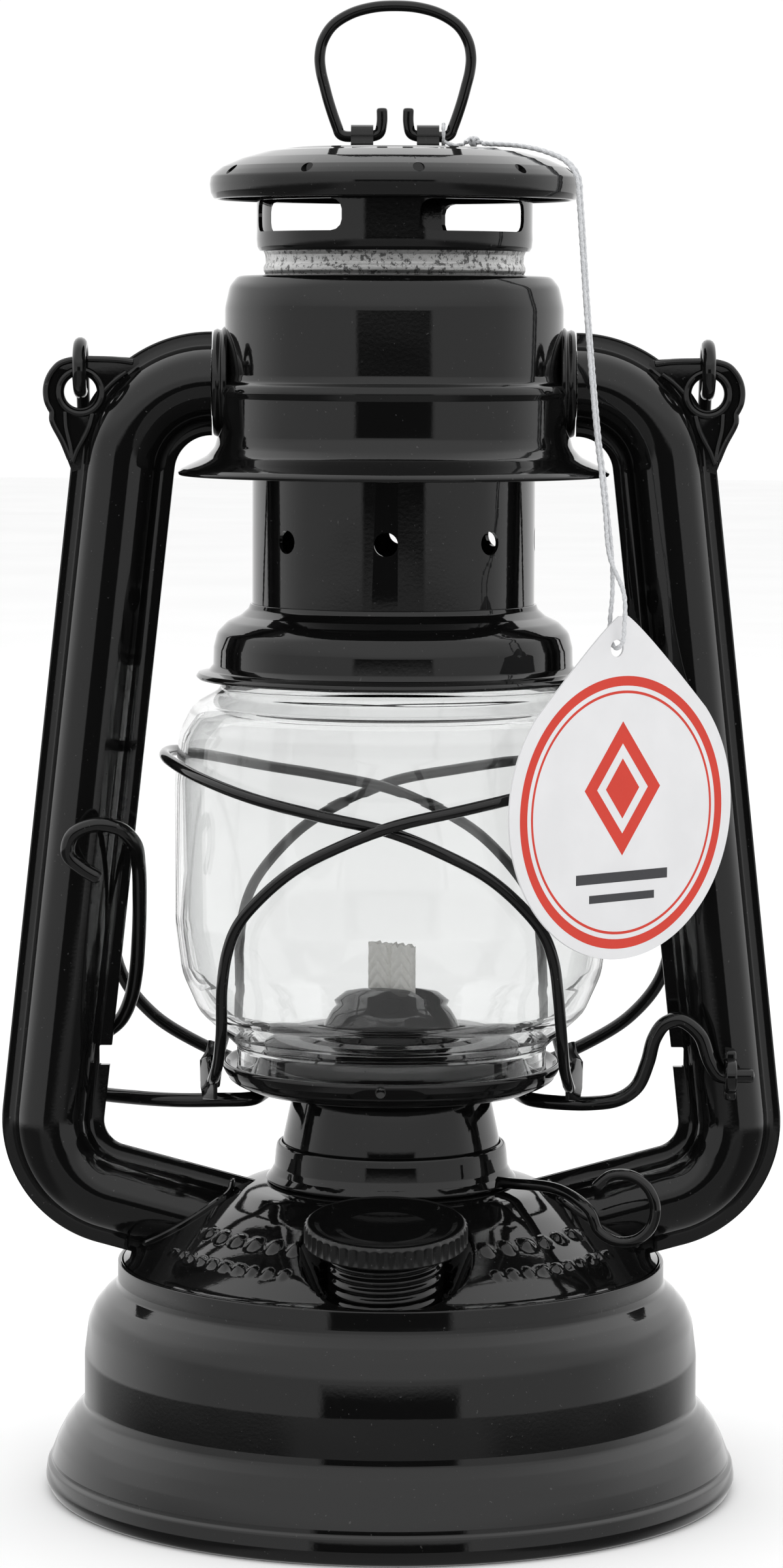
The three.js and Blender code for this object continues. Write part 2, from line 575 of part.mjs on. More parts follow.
function bailWire() {
  const along = { y: Math.sin(BAIL_LEAN), z: -Math.cos(BAIL_LEAN) };
  const eyeAngle = (degrees) => THREE.MathUtils.degToRad(degrees);
  const side = [];
  for (let turn = -198; turn < 72; turn += 33.5) {
    const angle = eyeAngle(turn);
    side.push([EAR.x, BAIL_EYE * Math.sin(angle), BAIL_AXIS_Z + BAIL_EYE * Math.cos(angle)]);
  }
  const start = { y: BAIL_EYE * Math.cos(BAIL_LEAN), z: BAIL_AXIS_Z + BAIL_EYE * Math.sin(BAIL_LEAN) };
  bailArm.forEach(([length, x]) => side.push([x, start.y + along.y * length, start.z + along.z * length]));
  const other = side.map(([x, y, z]) => [-x, y, z]).reverse();
  const middle = [0, start.y + along.y * 157, start.z + along.z * 157];
  return wire([...side, middle, ...other], BAIL_WIRE, new THREE.Vector3(1, 0, 0.01), 2);
}
addPiece('bail', bailWire(), ENAMEL);

// ---- Hang tag on its string ---------------------------------------------------------------------

const tagOut = new THREE.Vector3(Math.sin(TAG.azimuth), -Math.cos(TAG.azimuth), 0);
const tagAcross = new THREE.Vector3(Math.cos(TAG.azimuth), Math.sin(TAG.azimuth), 0);

function onTag(across, z, out = 0) {
  const place = tagOut.clone().multiplyScalar(TAG.distance + out).addScaledVector(tagAcross, across);
  return new THREE.Vector3(place.x, place.y, z);
}

function hangTag() {
  const spread = THREE.MathUtils.degToRad(40.5);
  const shape = new THREE.Shape();
  shape.absarc(0, 0, TAG.radius, Math.PI - spread, spread, false);
  shape.quadraticCurveTo(4.6, 34.4, 0.4, 36.4);
  shape.lineTo(-0.4, 36.4);
  const hole = new THREE.Path().absarc(TAG_HOLE.across - TAG.across, TAG_HOLE.z - TAG.z, 1.6, 0, 2 * Math.PI, true);
  shape.holes.push(hole);
  const card = new THREE.ExtrudeGeometry(shape, { depth: 0.5, steps: 1, bevelEnabled: false, curveSegments: 16 });
  card.translate(0, 0, -0.25).rotateX(Math.PI / 2).rotateZ(TAG.azimuth);
  const centre = onTag(TAG.across, TAG.z);
  return weld(card.translate(centre.x, centre.y, centre.z));
}
addPiece('hang_tag', hangTag(), CARD);

// The middle line of the two strands, from the knot over the hood and the skirt to the tag.
const stringLine = [
  [16.6, -4.8, 256.2], [19, -6.1, 256.1], [24, -8.8, 255.6], [28.5, -11.3, 254.4], [32, -13.3, 252.6],
  [33.9, -14.3, 249.8], [34.3, -14.4, 246], [34.9, -14.6, 238], [35.6, -14.9, 228], [36.5, -15.2, 217],
  [37.4, -15.6, 207], [38.2, -15.9, 199.5], [38.8, -16.2, 195], [39.5, -17.6, 188.5], [40.3, -20, 180],
];
const strandSide = new THREE.Vector3(0.38, 0.92, 0).multiplyScalar(STRAND_OFFSET);

function stringRoute() {
  const strand = (sign) => stringLine.map((p) => new THREE.Vector3(...p).addScaledVector(strandSide, sign));
  const through = [
    onTag(15.1, 173, 2.2), onTag(15.2, 167.4, 2.2), onTag(15.3, 164.2, 1.6), onTag(15.3, 163.1, 0),
    onTag(15.4, 164.2, -1.6), onTag(15.6, 167.4, -2.2), onTag(15.9, 173, -1.9),
  ];
  return [...strand(-1), ...through, ...strand(1).reverse()].map((p) => p.toArray());
}
addPiece('tag_string', wire(stringRoute(), STRING_RADIUS, strandSide, 2, 8), TWINE);
addPiece('string_knot', new THREE.IcosahedronGeometry(1.15, 1).translate(14.7, -3.7, 256.65), TWINE);

function stringLoop() {
  const eye = new THREE.TorusGeometry(2, 0.4, 6, 10).rotateY(Math.PI / 2);
  const tail = wire([[9.1, -1.5, 256.68], [11.2, -2.5, 255.95], [13, -3.2, 256.2]], STRING_RADIUS, tagOut);
  return join(eye.translate(9.1, 0, RING_AXIS_Z + 0.3), tail);
}
addPiece('string_loop', stringLoop(), TWINE);

export default lantern;
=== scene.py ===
"""Looks of the storm lantern: fine meshes, procedural materials, studio light and the camera."""
import math

import bmesh
import bpy
from mathutils import Matrix, Vector, noise


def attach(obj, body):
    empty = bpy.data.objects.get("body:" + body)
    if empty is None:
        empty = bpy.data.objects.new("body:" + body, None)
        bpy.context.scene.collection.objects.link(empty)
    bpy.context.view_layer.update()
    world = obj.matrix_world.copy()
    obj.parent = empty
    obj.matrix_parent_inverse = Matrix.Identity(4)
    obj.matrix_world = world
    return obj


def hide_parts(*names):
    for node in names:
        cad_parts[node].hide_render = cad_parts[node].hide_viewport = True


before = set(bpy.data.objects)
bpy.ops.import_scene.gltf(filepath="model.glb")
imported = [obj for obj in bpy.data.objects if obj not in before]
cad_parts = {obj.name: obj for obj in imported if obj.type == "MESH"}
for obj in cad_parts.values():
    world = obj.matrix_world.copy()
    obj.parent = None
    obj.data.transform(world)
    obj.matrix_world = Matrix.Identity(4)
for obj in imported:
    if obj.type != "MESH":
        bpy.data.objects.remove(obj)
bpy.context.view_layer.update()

MM = 0.001
UP = Vector((0, 0, 1))

# ---- Camera ----

camera = bpy.data.objects.new("camera", bpy.data.cameras.new("camera"))
bpy.context.collection.objects.link(camera)
camera.data.lens = 111.0
camera.data.sensor_width = 36.0
camera.data.clip_start = 0.05
camera.data.clip_end = 20.0
CAMERA_PITCH = math.radians(84.544)
CAMERA_ROLL = math.radians(0.224)
turn = Matrix.Rotation(CAMERA_PITCH, 4, "X") @ Matrix.Rotation(CAMERA_ROLL, 4, "Z")
camera.matrix_world = Matrix.Translation((-0.0002, -0.917, 0.2229)) @ turn
bpy.context.scene.camera = camera
bpy.context.scene.view_settings.view_transform = "Standard"


# ---- Node materials ----


class Look:
    """A node material under construction, seen in object coordinates."""

    def __init__(self, name):
        self.material = bpy.data.materials.new(name)
        self.material.use_nodes = True
        self.tree = self.material.node_tree
        self.shader = self.tree.nodes["Principled BSDF"]
        self.place = self.node("ShaderNodeTexCoord").outputs["Object"]

    def node(self, kind, **settings):
        made = self.tree.nodes.new(kind)
        for key, value in settings.items():
            setattr(made, key, value)
        return made

    def link(self, a, b):
        self.tree.links.new(a, b)

    def set(self, **values):
        for key, value in values.items():
            self.shader.inputs[key.replace("_", " ")].default_value = value

    def feed(self, **sockets):
        for key, socket in sockets.items():
            self.link(socket, self.shader.inputs[key.replace("_", " ")])

    def stretched(self, scale):
        mapping = self.node("ShaderNodeMapping")
        mapping.inputs["Scale"].default_value = scale
        self.link(self.place, mapping.inputs["Vector"])
        return mapping.outputs["Vector"]

    def noise(self, scale, detail=2.0, roughness=0.5, vector=None):
        made = self.node("ShaderNodeTexNoise")
        made.inputs["Scale"].default_value = scale
        made.inputs["Detail"].default_value = detail
        made.inputs["Roughness"].default_value = roughness
        self.link(vector or self.place, made.inputs["Vector"])
        return made.outputs["Fac"]

    def ramp(self, value, stops):
        made = self.node("ShaderNodeValToRGB")
        line = made.color_ramp
        while len(line.elements) < len(stops):
            line.elements.new(0.5)
        for element, (at, colour) in zip(line.elements, stops):
            element.position = at
            element.color = colour if len(colour) == 4 else (*colour, 1)
        self.link(value, made.inputs["Fac"])
        return made.outputs["Color"]

    def levels(self, value, low, high, to_low, to_high):
        made = self.node("ShaderNodeMapRange")
        for socket, number in zip(made.inputs[1:5], (low, high, to_low, to_high)):
            socket.default_value = number
        self.link(value, made.inputs["Value"])
        return made.outputs["Result"]

    def bump(self, height, strength, distance, before=None):
        made = self.node("ShaderNodeBump")
        made.inputs["Strength"].default_value = strength
        made.inputs["Distance"].default_value = distance
        self.link(height, made.inputs["Height"])
        if before:
            self.link(before, made.inputs["Normal"])
        return made.outputs["Normal"]


def grey(value):
    return (value, value, value)


def enamel_look(name, gloss=(0.035, 0.075), peel=0.05, dust=0.75):
    look = Look(name)
    specks = look.noise(1600, 1.0)
    wear = look.noise(24, 4.0)
    swell = look.bump(look.noise(70, 1.0), peel, 0.0012)
    look.feed(Base_Color=look.ramp(specks, [(dust, grey(0.0035)), (dust + 0.03, grey(0.035))]),
              Roughness=look.levels(wear, 0.3, 0.7, *gloss), Normal=look.bump(specks, 0.02, 0.0002, swell))
    look.set(IOR=1.5)
    return look.material


def steel_look(name, base, rough, speckle):
    look = Look(name)
    spots = look.noise(900, 6.0, 0.75)
    stain = look.noise(60, 4.0, 0.6)
    dark = tuple(0.25 * c for c in base)
    pale = tuple(min(1.0, 1.15 * c) for c in base)
    look.feed(Base_Color=look.ramp(spots, [(speckle - 0.04, dark), (speckle, base), (0.75, pale)]),
              Roughness=look.levels(stain, 0.3, 0.7, rough - 0.08, rough + 0.1),
              Normal=look.bump(spots, 0.35, 0.0003))
    look.set(Metallic=1.0)
    return look.material


def glass_look():
    look = Look("clear_glass")
    waves = look.noise(1.0, 2.0, 0.5, look.stretched((22, 22, 9)))
    look.feed(Normal=look.bump(waves, 0.06, 0.002),
              Roughness=look.levels(look.noise(300, 3.0), 0.4, 0.8, 0.0, 0.02))
    look.set(Base_Color=(0.85, 0.856, 0.854, 1), Transmission_Weight=1.0, IOR=1.47)
    through = look.node("ShaderNodeBsdfTransparent")
    through.inputs["Color"].default_value = (0.9, 0.905, 0.903, 1)
    either = look.node("ShaderNodeMixShader")
    look.link(look.node("ShaderNodeLightPath").outputs["Is Shadow Ray"], either.inputs[0])
    look.link(look.shader.outputs["BSDF"], either.inputs[1])
    look.link(through.outputs["BSDF"], either.inputs[2])
    look.link(either.outputs["Shader"], look.tree.nodes["Material Output"].inputs["Surface"])
    return look.material


def cloth_look(name, dark, pale, scale, sheen):
    look = Look(name)
    fibres = look.noise(scale, 5.0, 0.7)
    look.feed(Base_Color=look.ramp(fibres, [(0.3, dark), (0.7, pale)]),
              Roughness=look.levels(fibres, 0.2, 0.8, 0.85, 0.98), Normal=look.bump(fibres, 0.5, 0.00025))
    look.set(Sheen_Weight=sheen)
    return look.material


def card_look(name, colour):
    look = Look(name)
    fibres = look.noise(1800, 4.0, 0.6)
    cloud = look.noise(120, 3.0)
    low = tuple(0.96 * c for c in colour)
    look.feed(Base_Color=look.ramp(cloud, [(0.35, low), (0.65, colour)]),
              Roughness=look.levels(fibres, 0.3, 0.7, 0.5, 0.62), Normal=look.bump(fibres, 0.12, 0.0001))
    return look.material


ENAMEL = enamel_look("enamel")
SATIN = enamel_look("enamel_satin", gloss=(0.28, 0.4), peel=0.12, dust=0.7)
BARE = steel_look("bare_steel", (0.56, 0.56, 0.555), 0.42, 0.47)
SPRING = steel_look("spring_steel", (0.42, 0.42, 0.41), 0.3, 0.36)
GLASS = glass_look()
COTTON = cloth_look("cotton", (0.8, 0.79, 0.75), (0.95, 0.94, 0.91), 1500, 0.3)
CORK = cloth_look("gasket_cork", (0.22, 0.12, 0.06), (0.55, 0.36, 0.2), 700, 0.0)
TWINE = cloth_look("twine", (0.42, 0.43, 0.44), (0.74, 0.75, 0.77), 2600, 0.4)
CARD = card_look("tag_card", (0.73, 0.73, 0.74))
PRINT_RED = card_look("print_red", (0.62, 0.035, 0.016))
PRINT_GREY = card_look("print_grey", (0.045, 0.045, 0.05))


# ---- Mesh building, in millimetres ----


def unit(a, b):
    length = math.hypot(b[0] - a[0], b[1] - a[1])
    return (b[0] - a[0]) / length, (b[1] - a[1]) / length, length


def rounded(outline):
    """A closed outline of (r, z) or (r, z, fillet) corners, each fillet turned into a short arc."""
    points = []
    count = len(outline)
    for i, corner in enumerate(outline):
        if len(corner) == 2 or corner[2] == 0:
            points.append(corner[:2])
            continue
        ax, az, a_length = unit(corner, outline[i - 1])
        bx, bz, b_length = unit(corner, outline[(i + 1) % count])
        half = math.acos(max(-1.0, min(1.0, ax * bx + az * bz))) / 2
        if half > math.radians(88.5):
            points.append(corner[:2])
            continue
        reach = min(corner[2] / math.tan(half), 0.48 * a_length, 0.48 * b_length)
        steps = max(2, round((math.pi - 2 * half) / math.radians(14)))
        radius = reach * math.tan(half)
        mx, mz = ax + bx, az + bz
        size = math.hypot(mx, mz)
        to_centre = radius / math.sin(half)
        cx, cz = corner[0] + mx / size * to_centre, corner[1] + mz / size * to_centre
        start = math.atan2(corner[1] + az * reach - cz, corner[0] + ax * reach - cx)
        end = math.atan2(corner[1] + bz * reach - cz, corner[0] + bx * reach - cx)
        sweep = (end - start + math.pi) % (2 * math.pi) - math.pi
        for k in range(steps + 1):
            angle = start + sweep * k / steps
            points.append((cx + radius * math.cos(angle), cz + radius * math.sin(angle)))
    return points


def spaced(start, end, steps):
    """Evenly spaced values with both ends."""
    return [start + (end - start) * i / steps for i in range(steps + 1)]


def on_circle(x, y, radius, degrees):
    """Points of a circle at the given angles."""
    return [(x + radius * math.cos(math.radians(t)), y + radius * math.sin(math.radians(t))) for t in degrees]


def circle(x, y, radius, steps=72):
    return on_circle(x, y, radius, spaced(0, 360, steps)[:-1])


def bands(rows, size, closed=True):
    """Quads between rows of size points each; closed joins the last row to the first."""
    faces = []
    for i in range(rows if closed else rows - 1):
        a, b = i * size, (i + 1) % rows * size
        for j in range(size):
            k = (j + 1) % size
            faces.append((a + j, b + j, b + k, a + k))
    return faces


def new_piece(name, mesh, *materials):
    for material in materials:
        mesh.materials.append(material)
    piece = bpy.data.objects.new(name, mesh)
    bpy.context.collection.objects.link(piece)
    return piece


def mesh_object(name, verts, faces, material):
    mesh = bpy.data.meshes.new(name)
    mesh.from_pydata([(x * MM, y * MM, z * MM) for x, y, z in verts], [], faces)
    return new_piece(name, mesh, material)


def evaluated_mesh(piece):
    return bpy.data.meshes.new_from_object(piece.evaluated_get(bpy.context.evaluated_depsgraph_get()))


def clean(piece, sharp=32.0):
    """Welds, turns the faces outwards and shades smooth apart from the sharp edges."""
    work = bmesh.new()
    work.from_mesh(piece.data)
    bmesh.ops.remove_doubles(work, verts=work.verts, dist=1e-6)
    bmesh.ops.dissolve_degenerate(work, edges=work.edges, dist=1e-7)
    bmesh.ops.recalc_face_normals(work, faces=work.faces)
    work.to_mesh(piece.data)
    work.free()
    piece.data.polygons.foreach_set("use_smooth", [True] * len(piece.data.polygons))
    piece.data.set_sharp_from_angle(angle=math.radians(sharp))
    return piece


def place(piece, body, slot, *nodes):
    clean(piece)
    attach(piece, body)
    if nodes:
        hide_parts(*nodes)
    return piece


def turned(name, outline, material=ENAMEL, segments=160, radius_at=None):
    """A closed outline turned about Z; radius_at(angle, r, z) may vary the radius."""
    ring = rounded(outline)
    verts = []
    for i in range(segments):
        angle = 2 * math.pi * i / segments
        for r, z in ring:
            reach = radius_at(angle, r, z) if radius_at else r
            verts.append((reach * math.cos(angle), reach * math.sin(angle), z))
    return mesh_object(name, verts, bands(segments, len(ring)), material)


def between(a, b, start, end, t):
    return a * ((end - t) / (end - start)) + b * ((t - start) / (end - start))


def catmull(points, per_span=8):
    """Centripetal spline through the points."""
    points = [Vector(p) for p in points]
    out = []
    for i in range(len(points) - 1):
        p1, p2 = points[i], points[i + 1]
        p0 = points[i - 1] if i else 2 * p1 - p2
        p3 = points[i + 2] if i + 2 < len(points) else 2 * p2 - p1
        t1 = (p1 - p0).length ** 0.5
        t2 = t1 + (p2 - p1).length ** 0.5
        t3 = t2 + (p3 - p2).length ** 0.5
        for k in range(per_span):
            t = t1 + (t2 - t1) * k / per_span
            a2 = between(p1, p2, t1, t2, t)
            b1 = between(between(p0, p1, 0, t1, t), a2, 0, t2, t)
            b2 = between(a2, between(p2, p3, t2, t3, t), t1, t3, t)
            out.append(between(b1, b2, t1, t2, t))
    out.append(points[-1])
    return out


def frames(path, side, closed=False):
    """(point, side, other) along a path, the side vector carried along it."""
    out = []
    side = Vector(side)
    last = len(path) - 1
    for i, point in enumerate(path):
        before = path[i - 1] if i or closed else point
        after = path[i + 1] if i < last else (path[0] if closed else point)
        tangent = (after - point).normalized() + (point - before).normalized()
        tangent.normalize()
        side = (side - tangent * side.dot(tangent)).normalized()
        out.append((point, side, tangent.cross(side)))
    return out


def swept(name, section, path, side, material=ENAMEL, closed=False):
    """section is a closed list of (a, b): a along the side vector, b along tangent x side.
    section may be a function of (step, length travelled)."""
    rings = frames(path, side, closed)
    verts = []
    travelled = 0.0
    for i, (point, across, other) in enumerate(rings):
        travelled += (point - rings[i - 1][0]).length if i else 0.0
        shape = section(i, travelled) if callable(section) else section
        for a, b in shape:
            verts.append(point + across * a + other * b)
    size = len(shape)
    faces = bands(len(rings), size, closed)
    if not closed:
        faces.append(tuple(range(size)))
        faces.append(tuple(reversed(range(len(verts) - size, len(verts)))))
    return mesh_object(name, verts, faces, material)


def wire(name, points, radius, side=(0, 0, 1), per_span=6, sides=14, material=ENAMEL, closed=False):
    """A round wire on a spline, its ends slightly rounded."""
    path = catmull(points, per_span)
    if closed:
        path = path[:-1]
        return swept(name, circle(0, 0, radius, sides), path, side, material, closed=True)
    start, stop = path[0], path[-1]
    first = (path[1] - start).normalized()
    last = (path[-2] - stop).normalized()
    inner = [p for p in path[1:-1] if min((p - start).length, (p - stop).length) > radius * 0.6]
    path = [start, start + first * radius * 0.12, start + first * radius * 0.45, *inner,
            stop + last * radius * 0.45, stop + last * radius * 0.12, stop]
    end_sizes = (0.6, 0.86, 1.0)

    def section(i, _):
        return circle(0, 0, radius * end_sizes[min(i, len(path) - 1 - i, 2)], sides)

    return swept(name, section, path, side, material)


def merged(name, *parts):
    """One object from several, keeping each face's material."""
    mesh = bpy.data.meshes.new(name)
    work = bmesh.new()
    materials = []
    for part in parts:
        for material in part.data.materials:
            if material not in materials:
                materials.append(material)
    for part in parts:
        at = [materials.index(m) for m in part.data.materials]
        before = len(work.faces)
        work.from_mesh(part.data)
        work.faces.ensure_lookup_table()
        for face in work.faces[before:]:
            face.material_index = at[face.material_index]
        bpy.data.objects.remove(part)
    work.to_mesh(mesh)
    work.free()
    return new_piece(name, mesh, *materials)


def cut(piece, *others):
    """Takes the others away from the piece."""
    for other in others:
        for each in (piece, other):
            clean(each)
        step = piece.modifiers.new("cut", "BOOLEAN")
        step.operation = "DIFFERENCE"
        step.solver = "EXACT"
        step.object = other
        made = evaluated_mesh(piece)
        piece.modifiers.clear()
        piece.data = made
        bpy.data.objects.remove(other)
    return piece


def transform(piece, matrix):
    piece.data.transform(matrix)
    if matrix.determinant() < 0:
        piece.data.flip_normals()
    return piece


def moved(x=0.0, y=0.0, z=0.0):
    return Matrix.Translation((x * MM, y * MM, z * MM))


def rotated(degrees, axis):
    return Matrix.Rotation(math.radians(degrees), 4, axis)


MIRROR_X = Matrix.Diagonal((-1, 1, 1, 1))
MIRROR_Y = Matrix.Diagonal((1, -1, 1, 1))


def copied(piece, name, matrix):
    return transform(new_piece(name, piece.data.copy()), matrix)


def block(name, low, high, bevel=0.25, material=ENAMEL):
    """A box with rounded edges."""
    work = bmesh.new()
    bmesh.ops.create_cube(work, size=1.0)
    for vert in work.verts:
        for axis in range(3):
            middle, size = (low[axis] + high[axis]) / 2, high[axis] - low[axis]
            vert.co[axis] = (middle + vert.co[axis] * size) * MM
    if bevel:
        bmesh.ops.bevel(work, geom=work.edges, offset=bevel * MM, segments=3, affect="EDGES", profile=0.5)
    mesh = bpy.data.meshes.new(name)
    work.to_mesh(mesh)
    work.free()
    return new_piece(name, mesh, material)


def bar(name, radius, length, sides=32):
    """A plain round bar along Z, for cutting holes."""
    return turned(name, [(0, -length / 2), (radius, -length / 2), (radius, length / 2), (0, length / 2)],
                  segments=sides)


def plate(name, outline, thickness, holes=(), material=ENAMEL, bevel=0.0):
    """A flat sheet in XY, centred on z = 0, from closed outlines."""
    curve = bpy.data.curves.new(name, "CURVE")
    curve.dimensions = "2D"
    curve.fill_mode = "BOTH"
    curve.extrude = (thickness / 2 - bevel) * MM
    curve.bevel_depth = bevel * MM
    curve.offset = -bevel * MM
    for loop in (outline, *holes):
        spline = curve.splines.new("POLY")
        spline.points.add(len(loop) - 1)
        for point, (x, y) in zip(spline.points, loop):
            point.co = (x * MM, y * MM, 0, 1)
        spline.use_cyclic_u = True
    maker = new_piece(name, curve)
    mesh = evaluated_mesh(maker)
    bpy.data.objects.remove(maker)
    mesh.materials.clear()
    return new_piece(name, mesh, material)


# ---- Cord: the tag's string ----

TAG_AZIMUTH = math.radians(40)
TAG_DISTANCE = 46.0
TAG_CENTRE = (16.9, 133.0)
TAG_HOLE = (15.3, 163.1)
tag_out = Vector((math.sin(TAG_AZIMUTH), -math.cos(TAG_AZIMUTH), 0))
tag_across = Vector((math.cos(TAG_AZIMUTH), math.sin(TAG_AZIMUTH), 0))


def on_tag(across, z, out=0.0):
    return tag_out * (TAG_DISTANCE + out) + tag_across * across + UP * z


STRING_LINE = [
    (16.6, -4.8, 256.2), (19, -6.1, 256.1), (24, -8.8, 255.6), (28.5, -11.3, 254.4), (32, -13.3, 252.6),
    (33.9, -14.3, 249.8), (34.3, -14.4, 246), (34.9, -14.6, 238), (35.6, -14.9, 228), (36.5, -15.2, 217),
    (37.4, -15.6, 207), (38.2, -15.9, 199.5), (38.8, -16.2, 195), (39.5, -17.6, 188.5), (40.3, -20, 180),
]
STRAND_SIDE = Vector((0.38, 0.92, 0)) * 0.65
THROUGH_TAG = [
    on_tag(15.1, 173, 2.2), on_tag(15.2, 167.4, 2.2), on_tag(15.3, 164.2, 1.6), on_tag(15.3, 163.1),
    on_tag(15.4, 164.2, -1.6), on_tag(15.6, 167.4, -2.2), on_tag(15.9, 173, -1.9),
]
string_points = [Vector(p) - STRAND_SIDE for p in STRING_LINE] + THROUGH_TAG
string_points += [Vector(p) + STRAND_SIDE for p in reversed(STRING_LINE)]
STRING_DIAMETER = 0.0009


def twisted(radius, pitch, sides=16):
    """The section of a two-ply thread, turning along its length."""
    def section(_, travelled):
        twist = 2 * math.pi * travelled / pitch
        points = []
        for i in range(sides):
            angle = 2 * math.pi * i / sides
            lobe = radius * (0.66 + 0.34 * abs(math.cos(angle - twist)))
            points.append((lobe * math.cos(angle), lobe * math.sin(angle)))
        return points
    return section


TWIST_PITCH = 3.2
string_path = catmull(string_points, 16)
string_section = twisted(STRING_DIAMETER / MM / 2, TWIST_PITCH)
string = swept("tag_string_twine", string_section, string_path, (0.4, 0.9, 0), TWINE)
place(string, "chimney", "twine", "tag_string")


def thread(name, points, radius, per_span=10, side=(0, 0, 1)):
    return swept(name, twisted(radius, TWIST_PITCH, 12), catmull(points, per_span), side, TWINE)


def knot_piece():
    """A tight overhand knot: a few turns of the thread round its own middle."""
    centre = Vector((14.7, -3.7, 256.65))
    along = Vector((0.88, -0.47, -0.05)).normalized()
    side = along.cross(UP).normalized()
    turns, steps = 2.6, 26
    points = []
    for i in range(steps + 1):
        share = i / steps
        angle = 2 * math.pi * turns * share
        swell = 0.62 + 0.12 * math.sin(math.pi * share)
        points.append(centre + along * (1.5 * (share - 0.5)) + side * (swell * math.cos(angle))
                      + UP * (swell * math.sin(angle)))
    tail = [centre + along * 0.3 + side * 0.6, centre + side * 1.3 + UP * 0.5, centre + side * 2.2 + UP * 0.3,
            centre + side * 3.0 - UP * 0.2]
    core = [centre - along * 1.9 - UP * 0.2, centre, centre + along * 1.9 - UP * 0.1]
    turns_of_knot = thread("knot_turns", points, 0.38)
    end = thread("knot_tail", tail, 0.3)
    return merged("string_knot_twine", turns_of_knot, end, thread("knot_core", core, 0.42))


place(knot_piece(), "chimney", "twine", "string_knot")


def loop_piece():
    eye = [Vector((9.1, y, z)) for z, y in on_circle(258.0, 0, 2.0, range(0, 361, 15))]
    tail = [Vector(p) for p in ((9.1, -1.5, 256.68), (11.2, -2.5, 255.95), (13, -3.2, 256.2))]
    second = [p + Vector((0.1, 0.7, 0.1)) for p in tail]
    return merged("string_loop_twine", thread("eye", eye, 0.36, 4, (1, 0, 0)), thread("tail_a", tail, 0.36),
                  thread("tail_b", second, 0.34))


place(loop_piece(), "chimney", "twine", "string_loop")

# ---- Tank ----

place(turned("tank_body", [
    (62.6, 0, 0.5), (65.1, 0, 1.4), (66.3, 2.4, 1.7), (65.9, 5.2, 0.7), (65.1, 5.7, 0.25),
    (65.1, 6.5, 0.4), (64.0, 9.4, 3), (62.5, 12.2, 4), (60.7, 14.6, 3), (58.9, 16.4, 1.6), (58.8, 18, 2),
    (58.8, 26, 9), (58.0, 32.4, 6), (56.8, 35.2, 4), (54.8, 37.5, 4), (52.6, 39.4, 1.2), (52.4, 40.4, 0.8),
    (52.4, 43.9, 0.35), (51.7, 44.3, 0.35), (51.4, 43.6, 0.3), (51.6, 39.6), (55.9, 34.4, 4),
    (57.7, 29.5, 4), (57.9, 16.2, 2), (61.4, 11.9, 3), (64.2, 6.9, 2), (64.2, 4.4, 1), (62.6, 3.8, 0.6),
], segments=256), "frame", "enamel", "tank_shell")

place(turned("tank_base_plate", [
    (0, 3.0), (14, 2.9, 1), (15.5, 2.4, 1), (17, 2.4, 1), (18.5, 2.9, 1), (36, 2.7, 1), (37.5, 2.2, 1),
    (39.5, 2.2, 1), (41, 2.7, 1), (56, 2.6, 1), (58, 2.2, 1), (61.8, 2.2, 0.3), (61.8, 3.2), (0, 4),
]), "frame", "enamel", "tank_bottom")

DOME = [
    (19.4, 59.1), (23.6, 59.1), (25.6, 58.95), (28.6, 58.3), (34, 55.5), (40, 51.7), (46, 47.9),
    (49.6, 45.2), (51.3, 43.9),
]
FILLER = Vector((-0.9, -38.6, 44.2))
FILLER_TILT = 9.0


def profile_height(outline, r):
    for (r0, z0), (r1, z1) in zip(outline, outline[1:]):
        if r <= r1:
            return z0 + (z1 - z0) * (r - r0) / (r1 - r0)
    return outline[-1][1]


def bead(r, angle, ring, size, pitch):
    """Height of a row of small round bosses pressed along a ring."""
    step = pitch / ring
    across = (angle / step - round(angle / step)) * pitch
    away = math.hypot(across, r - ring) / size
    return max(0.0, 1 - away * away) ** 1.5


def dome_height(x, y):
    r, angle = math.hypot(x, y), math.atan2(x, -y)
    z = sum(profile_height(DOME, r + d) for d in (-1.0, -0.5, 0, 0.5, 1.0)) / 5
    if 24 < math.degrees(abs(angle)) < 66:
        z += 0.75 * bead(r, abs(angle), 45.2, 1.25, 3.4)
        z += 1.0 * bead(r, abs(angle), 39.4, 1.75, 4.6)
    slant = math.tan(math.radians(FILLER_TILT))
    out = math.hypot(x - FILLER.x, y - FILLER.y + slant * (z - FILLER.z))
    wall = FILLER.z - 0.6 + max(0.0, out - 13.4) * 2.7
    soft = 0.7
    share = max(0.0, min(1.0, 0.5 + 0.5 * (wall - z) / soft))
    return wall + (z - wall) * share - soft * share * (1 - share)


def dome_piece():
    """The cover as a height field on rings and spokes, with finer spokes at the filler."""
    sheet, steps = 0.55, 108
    angles = [math.radians(a) for a in range(36, 325)] + [math.radians(a / 2.5) for a in range(-90, 90)]
    radii = spaced(DOME[0][0], DOME[-1][0], steps)
    verts = []
    for angle in angles:
        top = []
        for r in radii:
            x, y = r * math.sin(angle), -r * math.cos(angle)
            top.append((x, y, dome_height(x, y)))
        verts += top + [(x, y, z - sheet) for x, y, z in reversed(top)]
    return mesh_object("tank_cover", verts, bands(len(angles), 2 * len(radii)), ENAMEL)


place(dome_piece(), "frame", "enamel", "tank_dome")

# ---- Filler neck and fuel cap, made upright and then tilted ----

TO_FILLER = moved(FILLER.x, FILLER.y, FILLER.z) @ rotated(FILLER_TILT, "X")


